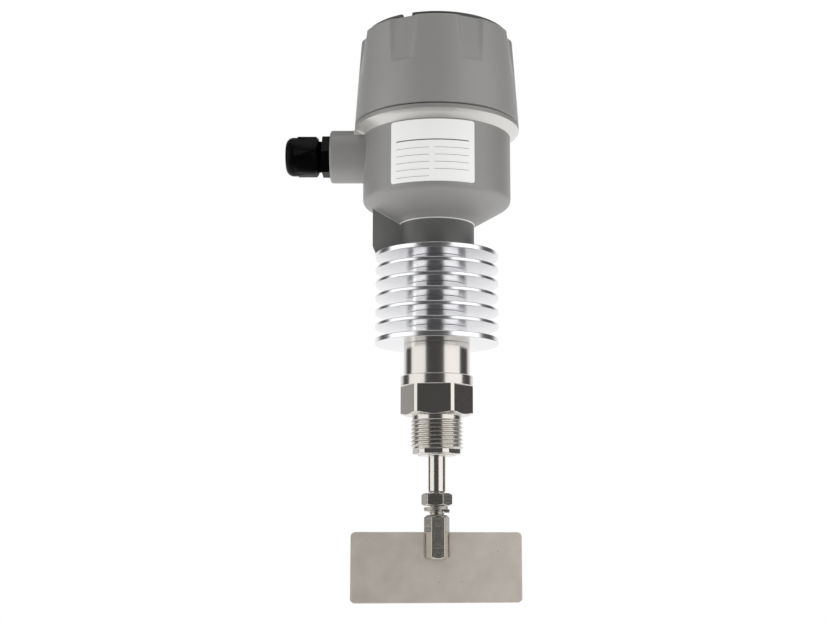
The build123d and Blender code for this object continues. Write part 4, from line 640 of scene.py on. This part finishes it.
def buildFitting():
    # the radius is the profile's, or the hexagon's where that is less; over the thread it is the crest less the
    # thread's dip, which fades out at the end
    s = fitting
    cutFrom, crowdFrom = s["threadFromMm"]

    def rowStep(before, after):
        nearest, highest = min(before[0], after[0]), max(before[1], after[1])
        if nearest > crowdFrom and highest < s["threadTopMm"]:
            return s["threadRowMm"]
        if nearest > s["chamferFromMm"] and highest < s["chamferTopMm"]:
            return s["chamferRowMm"]
        return longRowMm

    path = roundedPath(s["sectionMm"], s["radiiMm"], closed=True)
    path = dividePath(np.vstack([path, path[:1]]), rowStep)[:-1]
    stepRow = int(np.argmax((path[:, 0] > s["collarMm"] - 0.1) & (path[:, 1] > s["hexTopMm"])))
    ledge = np.array([[s["collarMm"], s["hexTopMm"] + lift] for lift in s["ledgeRowsMm"]])
    path = np.vstack([path[:stepRow], ledge, path[stepRow:]])
    stripHalf = degrees(np.arccos(s["hexAcrossFlatsMm"] / 2 / s["collarMm"]))
    crest = s["threadCrestMm"]

    def shape(radius, height, angle):
        inHex = (height < s["hexTopMm"] + 0.01) & (height > -0.01) & (radius > s["hexFromMm"])
        side = flatsRadius(angle, s["hexYawDeg"], s["hexAcrossFlatsMm"], milledEdge)
        radius = np.where(inHex, softMin(radius, side, s["edgeBlendMm"]), radius)
        dip = threadDip(height, angle, s["pitchMm"], s["depthMm"], s["crestMm"])
        fade = np.clip((height - s["threadEndMm"]) / s["runoutMm"], 0, 1)
        inThread = (height < s["threadTopMm"]) & (height > s["threadEndMm"]) & (radius > cutFrom)
        return np.where(inThread, np.minimum(radius, crest - dip * fade), radius), height

    angles = hexAngles(s["hexYawDeg"], stripHalf, spreadDeg=1.6, cornerSteps=7)
    piece = gridPiece("threaded_fitting", turnedPoints(path, angles, shape), finishes["turnedStainless"], "casing",
                      wrapPath=True)
    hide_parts("process_fitting")


# seal retainer: a profile turned round Z, cut back to six short flats, with two pin holes sunk in its end face

retainer = {
    "boreMm": 5.8, "noseMm": -11.45, "noseRadiusMm": 11.85, "seatMm": -21.45, "barMm": 15.2, "shoulderMm": -24.15,
    "faceMm": 11.7, "endMm": -25.35, "edgeMm": 0.5, "radiiMm": [0.2, 0.5, 0.1, 0.1, 0.3, 0.2, 0.15, 0.2],
    "hexAcrossFlatsMm": 28.3, "hexYawDeg": -8.9, "edgeBlendMm": 0.03, "pinCircleMm": 10.4, "pinRadiusMm": 0.8,
    "pinDepthMm": 2.4, "pinWallMm": 0.12, "pinColumnsDeg": (6, 0.6), "faceRowMm": 0.12,
}


def buildRetainer():
    # the radius is the profile's, or the flats' where that is less; the face rises by the depth of a pin hole where a
    # point lies nearer to its middle than its radius
    s = retainer
    corners = [(s["boreMm"], s["noseMm"]), (s["noseRadiusMm"], s["noseMm"]), (s["noseRadiusMm"], s["seatMm"]),
               (s["barMm"], s["seatMm"]), (s["barMm"], s["shoulderMm"]),
               (s["faceMm"] + s["edgeMm"], s["endMm"] + s["edgeMm"]), (s["faceMm"], s["endMm"]),
               (s["boreMm"], s["endMm"])]
    path = roundedPath(corners, s["radiiMm"], closed=True)
    faceTop = s["endMm"] + 0.02
    path = dividePath(np.vstack([path, path[:1]]), lambda before, after:
                      s["faceRowMm"] if max(before[1], after[1]) < faceTop else longRowMm)[:-1]

    def shape(radius, height, angle):
        side = flatsRadius(angle, s["hexYawDeg"], s["hexAcrossFlatsMm"], milledEdge)
        radius = np.where(height < s["seatMm"] + 0.01, softMin(radius, side, s["edgeBlendMm"]), radius)
        fromPin = np.hypot(np.abs(radius * np.cos(angle)) - s["pinCircleMm"], radius * np.sin(angle))
        sunk = np.clip((s["pinRadiusMm"] - fromPin) / s["pinWallMm"] + 0.5, 0, 1) * s["pinDepthMm"]
        return radius, np.where(height < faceTop, height + sunk, height)

    stripHalf = degrees(np.arccos(s["hexAcrossFlatsMm"] / 2 / s["barMm"]))
    reach, step = s["pinColumnsDeg"]
    pinColumns = np.arange(-reach, reach + 0.01, step)
    flatColumns = np.degrees(hexAngles(s["hexYawDeg"], stripHalf, spreadDeg=1.6, flatSteps=9, cornerSteps=7))
    angles = columnAngles([flatColumns, pinColumns, 180 + pinColumns])
    piece = gridPiece("seal_retainer_nut", turnedPoints(path, angles, shape), finishes["turnedStainless"], "casing",
                      wrapPath=True)
    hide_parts("seal_retainer")


# finned cooler: one profile turned round Z, a groove between each pair of fins

fins = {
    "baseMm": 45.0, "count": 7, "pitchMm": 9.2, "radiusMm": 39.4, "thicknessMm": 2.4, "bottomMm": 3.6, "topMm": 3.3,
    "coreMm": 19.75, "edgeMm": 0.5, "rootMm": 0.35, "tenonMm": 17.85, "tenonTopMm": 118.3, "boreMm": 9.0,
    "socketMm": 15.15, "socketTopMm": 60.0, "seatMm": 13.03, "seatBaseMm": 108.4, "boreEdgesMm": 0.1,
    "shoulderEdgeMm": 0.2, "tenonEdgesMm": [0.3, 0.2, 0.1], "rowMm": 6.0, "columns": 144,
}


def buildFins():
    # every point of the profile keeps its radius and height all the way round
    s = fins
    corners = [(s["boreMm"], s["seatBaseMm"]), (s["boreMm"], s["socketTopMm"]), (s["socketMm"], s["socketTopMm"]),
               (s["socketMm"], s["baseMm"])]
    radii = [s["boreEdgesMm"]] * len(corners)
    last = s["count"] - 1
    for i in range(s["count"]):
        thickness = {0: s["bottomMm"], last: s["topMm"]}.get(i, s["thicknessMm"])
        top = s["baseMm"] + s["bottomMm"] + i * s["pitchMm"]
        under = top - thickness
        if i:
            corners.append((s["coreMm"], under))
            radii.append(s["rootMm"])
        corners += [(s["radiusMm"], under), (s["radiusMm"], top), (s["coreMm"] if i < last else s["tenonMm"], top)]
        radii += [s["edgeMm"], s["edgeMm"], s["rootMm"] if i < last else s["shoulderEdgeMm"]]
    corners += [(s["tenonMm"], s["tenonTopMm"]), (s["seatMm"], s["tenonTopMm"]), (s["seatMm"], s["seatBaseMm"])]
    radii += s["tenonEdgesMm"]
    path = dividePath(roundedPath(corners, radii, closed=True, arcSteps=6), s["rowMm"])
    angles = np.linspace(0, 2 * pi, s["columns"], endpoint=False)
    piece = gridPiece("finned_cooler", turnedPoints(path, angles), finishes["turnedAluminium"], "casing",
                      wrapPath=True)
    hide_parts("cooling_fins")


# rod, jam nut and hub: profiles turned round Z; the nut and hub are cut back to rounded hexagons

rod = {
    "sectionMm": [(0.4, -72.1), (4.1, -72.1), (4.9, -71.3), (4.9, -48.0), (5.5, -47.4), (5.5, -4.28), (5.0, -4.28),
                  (5.0, 116.5), (4.6, 116.5), (4.6, 117.5), (5.0, 117.5), (5.0, 136.5), (4.2, 137.3), (0.4, 137.3)],
    "edgeMm": 0.15,
    "threadMm": (-71.4, -48.2),
    "threadCrestMm": 4.9,
    "threadFromMm": 4.2,  # the thread cuts what lies further out than this
    "threadRowMm": 0.14,
    "pitchMm": 1.5,
    "depthMm": 0.8,
    "rowMm": 6.0,
    "columns": 56,
}


def buildRod():
    # the radius is the profile's, and over the thread the crest less the thread's dip
    s = rod
    low, high = s["threadMm"]
    path = roundedPath(s["sectionMm"], [s["edgeMm"]] * len(s["sectionMm"]), closed=False)
    path = dividePath(path, lambda before, after:
                      s["threadRowMm"] if low < before[1] < high or low < after[1] < high else s["rowMm"])

    def shape(radius, height, angle):
        thread = s["threadCrestMm"] - threadDip(height, angle, s["pitchMm"], s["depthMm"], high)
        inThread = (height > low) & (height < high) & (radius > s["threadFromMm"])
        return np.where(inThread, np.minimum(radius, thread), radius), height

    angles = np.linspace(0, 2 * pi, s["columns"], endpoint=False)
    piece = gridPiece("shaft_rod", turnedPoints(path, angles, shape), finishes["turnedStainless"], "paddle",
                      capEnds=True)
    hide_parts("drive_shaft")


hexPieces = {
    "jam_nut": {"name": "jam_nut_hex", "yawDeg": -6.5, "acrossFlatsMm": 17.0, "boreMm": 5.0,
                "lowMm": -56.4, "highMm": -48.6, "chamferMm": 1.1, "faceMm": 8.2},
    "paddle_hub": {"name": "hub_hex", "yawDeg": 8.0, "acrossFlatsMm": 14.0, "boreMm": 5.0,
                   "lowMm": -89.1, "highMm": -62.1, "chamferMm": 1.6, "faceMm": 6.4},
}
hexEdges = {"boreMm": 0.2, "faceMm": 0.25, "cornerMm": 0.1, "blendMm": 0.04, "chamferRowMm": 0.15, "rowMm": 3.0}


def buildHexPieces():
    # the radius is the chamfered bar's, or the hexagon's where that is less
    edges = [hexEdges["boreMm"], hexEdges["faceMm"], hexEdges["cornerMm"]]
    for node, s in hexPieces.items():
        corner = s["acrossFlatsMm"] / 2 / np.cos(pi / 6)
        low, high, cut = s["lowMm"], s["highMm"], s["chamferMm"]
        corners = [(s["boreMm"], low), (s["faceMm"], low), (corner, low + cut), (corner, high - cut),
                   (s["faceMm"], high), (s["boreMm"], high)]
        path = roundedPath(corners, edges + edges[::-1], closed=True)

        def rowStep(before, after):
            onChamfer = max(before[0], after[0]) > s["faceMm"] and abs(after[0] - before[0]) > 0.05
            return hexEdges["chamferRowMm"] if onChamfer else hexEdges["rowMm"]

        def shape(radius, height, angle):
            side = flatsRadius(angle, s["yawDeg"], s["acrossFlatsMm"], drawnEdge)
            return softMin(radius, side, hexEdges["blendMm"]), height

        path = dividePath(np.vstack([path, path[:1]]), rowStep)[:-1]
        piece = gridPiece(s["name"], turnedPoints(path, hexAngles(s["yawDeg"]), shape), finishes["drawnStainless"],
                          "paddle", wrapPath=True)
        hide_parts(node)


# weld: four fillet beads where the blade leaves the hub

weld = {"placesMm": [(7.5, 1.15), (7.5, -1.15), (-7.5, 1.15), (-7.5, -1.15)], "yawDeg": 8.0, "radiusMm": 0.75,
        "flatten": 0.8, "lowMm": -88.2, "highMm": -73.0, "endPower": 12, "endShare": 0.02, "rippleMm": 1.3,
        "rippleShare": 0.13, "rows": 70, "columns": 14}


def buildWeld():
    # a flattened round string: its radius swells and shrinks as a sine of the height, times the square root of
    # 1 - |height from the middle, as a share of half the length| ** endPower, which rounds its ends
    s = weld
    height = np.linspace(s["lowMm"], s["highMm"], s["rows"])
    fromMiddle = np.abs(2 * (height - height.mean()) / (height[-1] - height[0]))
    ends = np.sqrt(np.clip(1 - fromMiddle ** s["endPower"], 0, 1)) + s["endShare"]
    bead = s["radiusMm"] * ends * (1 + s["rippleShare"] * np.sin(2 * pi * height / s["rippleMm"]))
    angles = np.linspace(0, 2 * pi, s["columns"], endpoint=False)
    z = np.repeat(height[:, None], len(angles), axis=1)
    for number, (along, off) in enumerate(s["placesMm"]):
        x = along + bead[:, None] * np.cos(angles)
        y = off + bead[:, None] * np.sin(angles) * s["flatten"]
        points = turnedAbout(x, y, z, s["yawDeg"])
        gridPiece("weld_bead_%d" % number, points, finishes["weldBead"], "paddle", capEnds=True)


# blade: the outline of a round-cornered plate, carried through its thickness with rounded edges

blade = {"widthMm": 107.5, "heightMm": 43.3, "topMm": -72.5, "thicknessMm": 2.0, "cornerMm": 3.0, "edgeMm": 0.35,
         "faceInsetMm": 0.6, "yawDeg": 8.0}


def buildBlade():
    # each row is the outline, drawn in by an inset and set at a depth: both follow a quarter circle at either edge
    s = blade
    halfWide, halfHigh, corner = s["widthMm"] / 2, s["heightMm"] / 2, s["cornerMm"]
    quarter = np.linspace(0, pi / 2, 9)
    centres = [(halfWide - corner, halfHigh - corner, 0), (corner - halfWide, halfHigh - corner, pi / 2),
               (corner - halfWide, corner - halfHigh, pi), (halfWide - corner, corner - halfHigh, 3 * pi / 2)]
    outline = np.array([(x, z, start + turn) for x, z, start in centres for turn in quarter])
    arc = np.linspace(0, pi / 2, 5)
    half, edge, flat = s["thicknessMm"] / 2, s["edgeMm"], [s["faceInsetMm"]]
    inset = edge - edge * np.sin(arc)
    inset = np.concatenate([flat, inset, inset[::-1], flat])
    depth = -half + edge - edge * np.cos(arc)
    depth = np.concatenate([[-half], depth, -depth[::-1], [half]])
    reach = corner - inset[:, None]
    x = outline[None, :, 0] + reach * np.cos(outline[None, :, 2])
    z = outline[None, :, 1] + reach * np.sin(outline[None, :, 2]) + s["topMm"] - halfHigh
    y = np.repeat(depth[:, None], len(outline), axis=1)
    points = turnedAbout(x, y, z, s["yawDeg"])
    piece = gridPiece("blade_plate", points, finishes["pickledSheet"], "paddle", capEnds=True)
    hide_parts("paddle_blade")


# cover: a tapered cap turned round Z; each grip recess cuts it back to a sloping flat floor with splayed sides

coverCap = {
    "baseMm": 188.872, "topMm": 248.472, "skirtMm": 53.5, "topRadiusMm": 49.6, "edgeMm": 3.0, "skirtChamferMm": 0.8,
    "crownMm": 46.6, "crownWallMm": 3.0, "crownHeightMm": 2.4, "slotHalfMm": 3.6, "slotDeg": -113.8,
    "boreMm": 46.9, "boreTopMm": 206.972, "innerMm": 43.5, "innerTopMm": 243.472, "grooveMm": (48.05, 50.65),
    "grooveDepthMm": 1.9, "grips": 7, "gripFootMm": 218.972, "gripHalfMm": 6.4, "gripFootRadiusMm": 50.93,
    "gripTopRadiusMm": 46.8, "gripHeightMm": 29.5, "gripSplay": 1.9, "innerBlendMm": 0.3, "outerBlendMm": 0.3,
    "slotFromMm": 20,
    "crownGapMm": (0.1, 0.05),  # a recess cuts what stands this far out from the crown ring, and leaves this much
    "wallFromMm": (48, 2.2),  # the tapered wall lies past this radius, and this far above the base
    "footRowsMm": (-0.12, -0.015, 0.015, 0.12),
    "wallRowsMm": (1.2, 0.6, 1.3),  # its rows: first above the feet, last below the top, and the spacing
    "rowMm": 8.0,
    "gripColumnsDeg": (18, 0.5),
    "betweenDeg": 19.5,
    "slotTickDeg": 0.12,
}


def buildCover():
    # outside, the radius is the lower of the tapered wall's and the recess's. The recess's floor has a radius that
    # falls with height, divided by the cosine of the angle from the recess's middle, and its side is a straight line
    # that splays outwards from the floor. At a slot the crown ring's height drops to the top's
    s = coverCap
    base, top, bore, foot = s["baseMm"], s["topMm"], s["boreMm"], s["gripFootMm"]
    crown, crownTop = s["crownMm"], s["topMm"] + s["crownHeightMm"]
    grooveIn, grooveOut = s["grooveMm"]
    section = [((0.6, s["innerTopMm"]), 0), ((s["innerMm"], s["innerTopMm"]), 4.0),
               ((s["innerMm"], s["boreTopMm"] + 2), 0.3), ((bore, s["boreTopMm"]), 0.3), ((bore, base), 0.3),
               ((grooveIn, base), 0.15), ((grooveIn, base + s["grooveDepthMm"]), 0.2),
               ((grooveOut, base + s["grooveDepthMm"]), 0.2), ((grooveOut, base), 0.15),
               ((s["skirtMm"] - s["skirtChamferMm"], base), 0.2), ((s["skirtMm"], base + s["skirtChamferMm"]), 0.3),
               ((s["topRadiusMm"], top), s["edgeMm"]), ((crown, top), 0.25), ((crown, crownTop), 0.5),
               ((crown - s["crownWallMm"], crownTop), 0.5), ((crown - s["crownWallMm"], top), 0.4), ((0.6, top), 0)]
    corners, radii = zip(*section)
    path = roundedPath(corners, radii, closed=False, arcSteps=7)
    # rows along the tapered wall: close at the recesses' feet, then even up to its top
    wallRadius, wallRise = s["wallFromMm"]
    wallStart = int(np.argmax((path[:, 0] > wallRadius) & (path[:, 1] > base + wallRise)))
    below, above = path[wallStart - 1], path[wallStart]
    slope = (above[0] - below[0]) / (above[1] - below[1])
    first, spare, step = s["wallRowsMm"]
    levels = np.concatenate([[foot + row for row in s["footRowsMm"]],
                             np.arange(foot + first, above[1] - spare, step)])
    wall = np.stack([below[0] + slope * (levels - below[1]), levels], axis=-1)
    path = dividePath(np.vstack([path[:wallStart], wall, path[wallStart:]]), s["rowMm"])
    outsideGap, leastGap = s["crownGapMm"]

    def shape(radius, height, angle):
        onOutside = (height > foot) & (radius > crown + outsideGap)
        narrowing = s["gripFootRadiusMm"] - s["gripTopRadiusMm"]
        floor = s["gripFootRadiusMm"] - narrowing * (height - foot) / s["gripHeightMm"]
        pitch, splay = 2 * pi / s["grips"], s["gripSplay"]
        fromMiddle = np.abs((angle + pi / 2) % pitch - pitch / 2)
        flat = floor / np.cos(fromMiddle)
        side = (splay * floor - s["gripHalfMm"]) / (splay * np.cos(fromMiddle) - np.sin(fromMiddle))
        cut = -softMin(-flat, -side, s["innerBlendMm"])
        radius = np.where(onOutside, np.maximum(softMin(radius, cut, s["outerBlendMm"]), crown + leastGap), radius)
        offSlot = np.abs(radius * np.sin(angle - radians(s["slotDeg"])))
        inSlot = (offSlot < s["slotHalfMm"]) & (height > top) & (radius > s["slotFromMm"])
        return radius, np.where(inSlot, top, height)

    # columns crowd across each recess and at the slots' sides
    half, between = 180 / s["grips"], s["betweenDeg"]
    reach, step = s["gripColumnsDeg"]
    fine = np.concatenate([np.arange(-reach, reach + 0.01, step), np.linspace(between, 2 * half - between, 5)])
    middles = -90 + half + np.arange(s["grips"]) * 2 * half
    slotEdge = degrees(np.arcsin(s["slotHalfMm"] / (crown - s["crownWallMm"] / 2)))
    slots = [s["slotDeg"] + flip + side * slotEdge + tick
             for flip in (0, 180) for side in (-1, 1) for tick in (-s["slotTickDeg"], s["slotTickDeg"])]
    angles = columnAngles([*(middle + fine for middle in middles), slots])
    piece = gridPiece("screw_cover", turnedPoints(path, angles, shape), finishes["coverCoat"], "cover",
                      capEnds=True)
    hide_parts("cover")


buildStudio()
paintFrame()
buildFitting()
buildRetainer()
buildFins()
buildRod()
buildHexPieces()
buildWeld()
buildBlade()
buildCover()
for node, finish, name in (
    ("housing", "housingCoat", "housing_casting"),
    ("gland_body", "blackNylon", "gland_hex_body"),
    ("gland_cap", "blackNylon", "gland_dome_cap"),
    ("spring_washer", "springSteel", "split_washer"),
    ("label_plate", "labelFoil", "blank_label"),
):
    smoothCopy(node, finishes[finish], name)
print("pieces built")
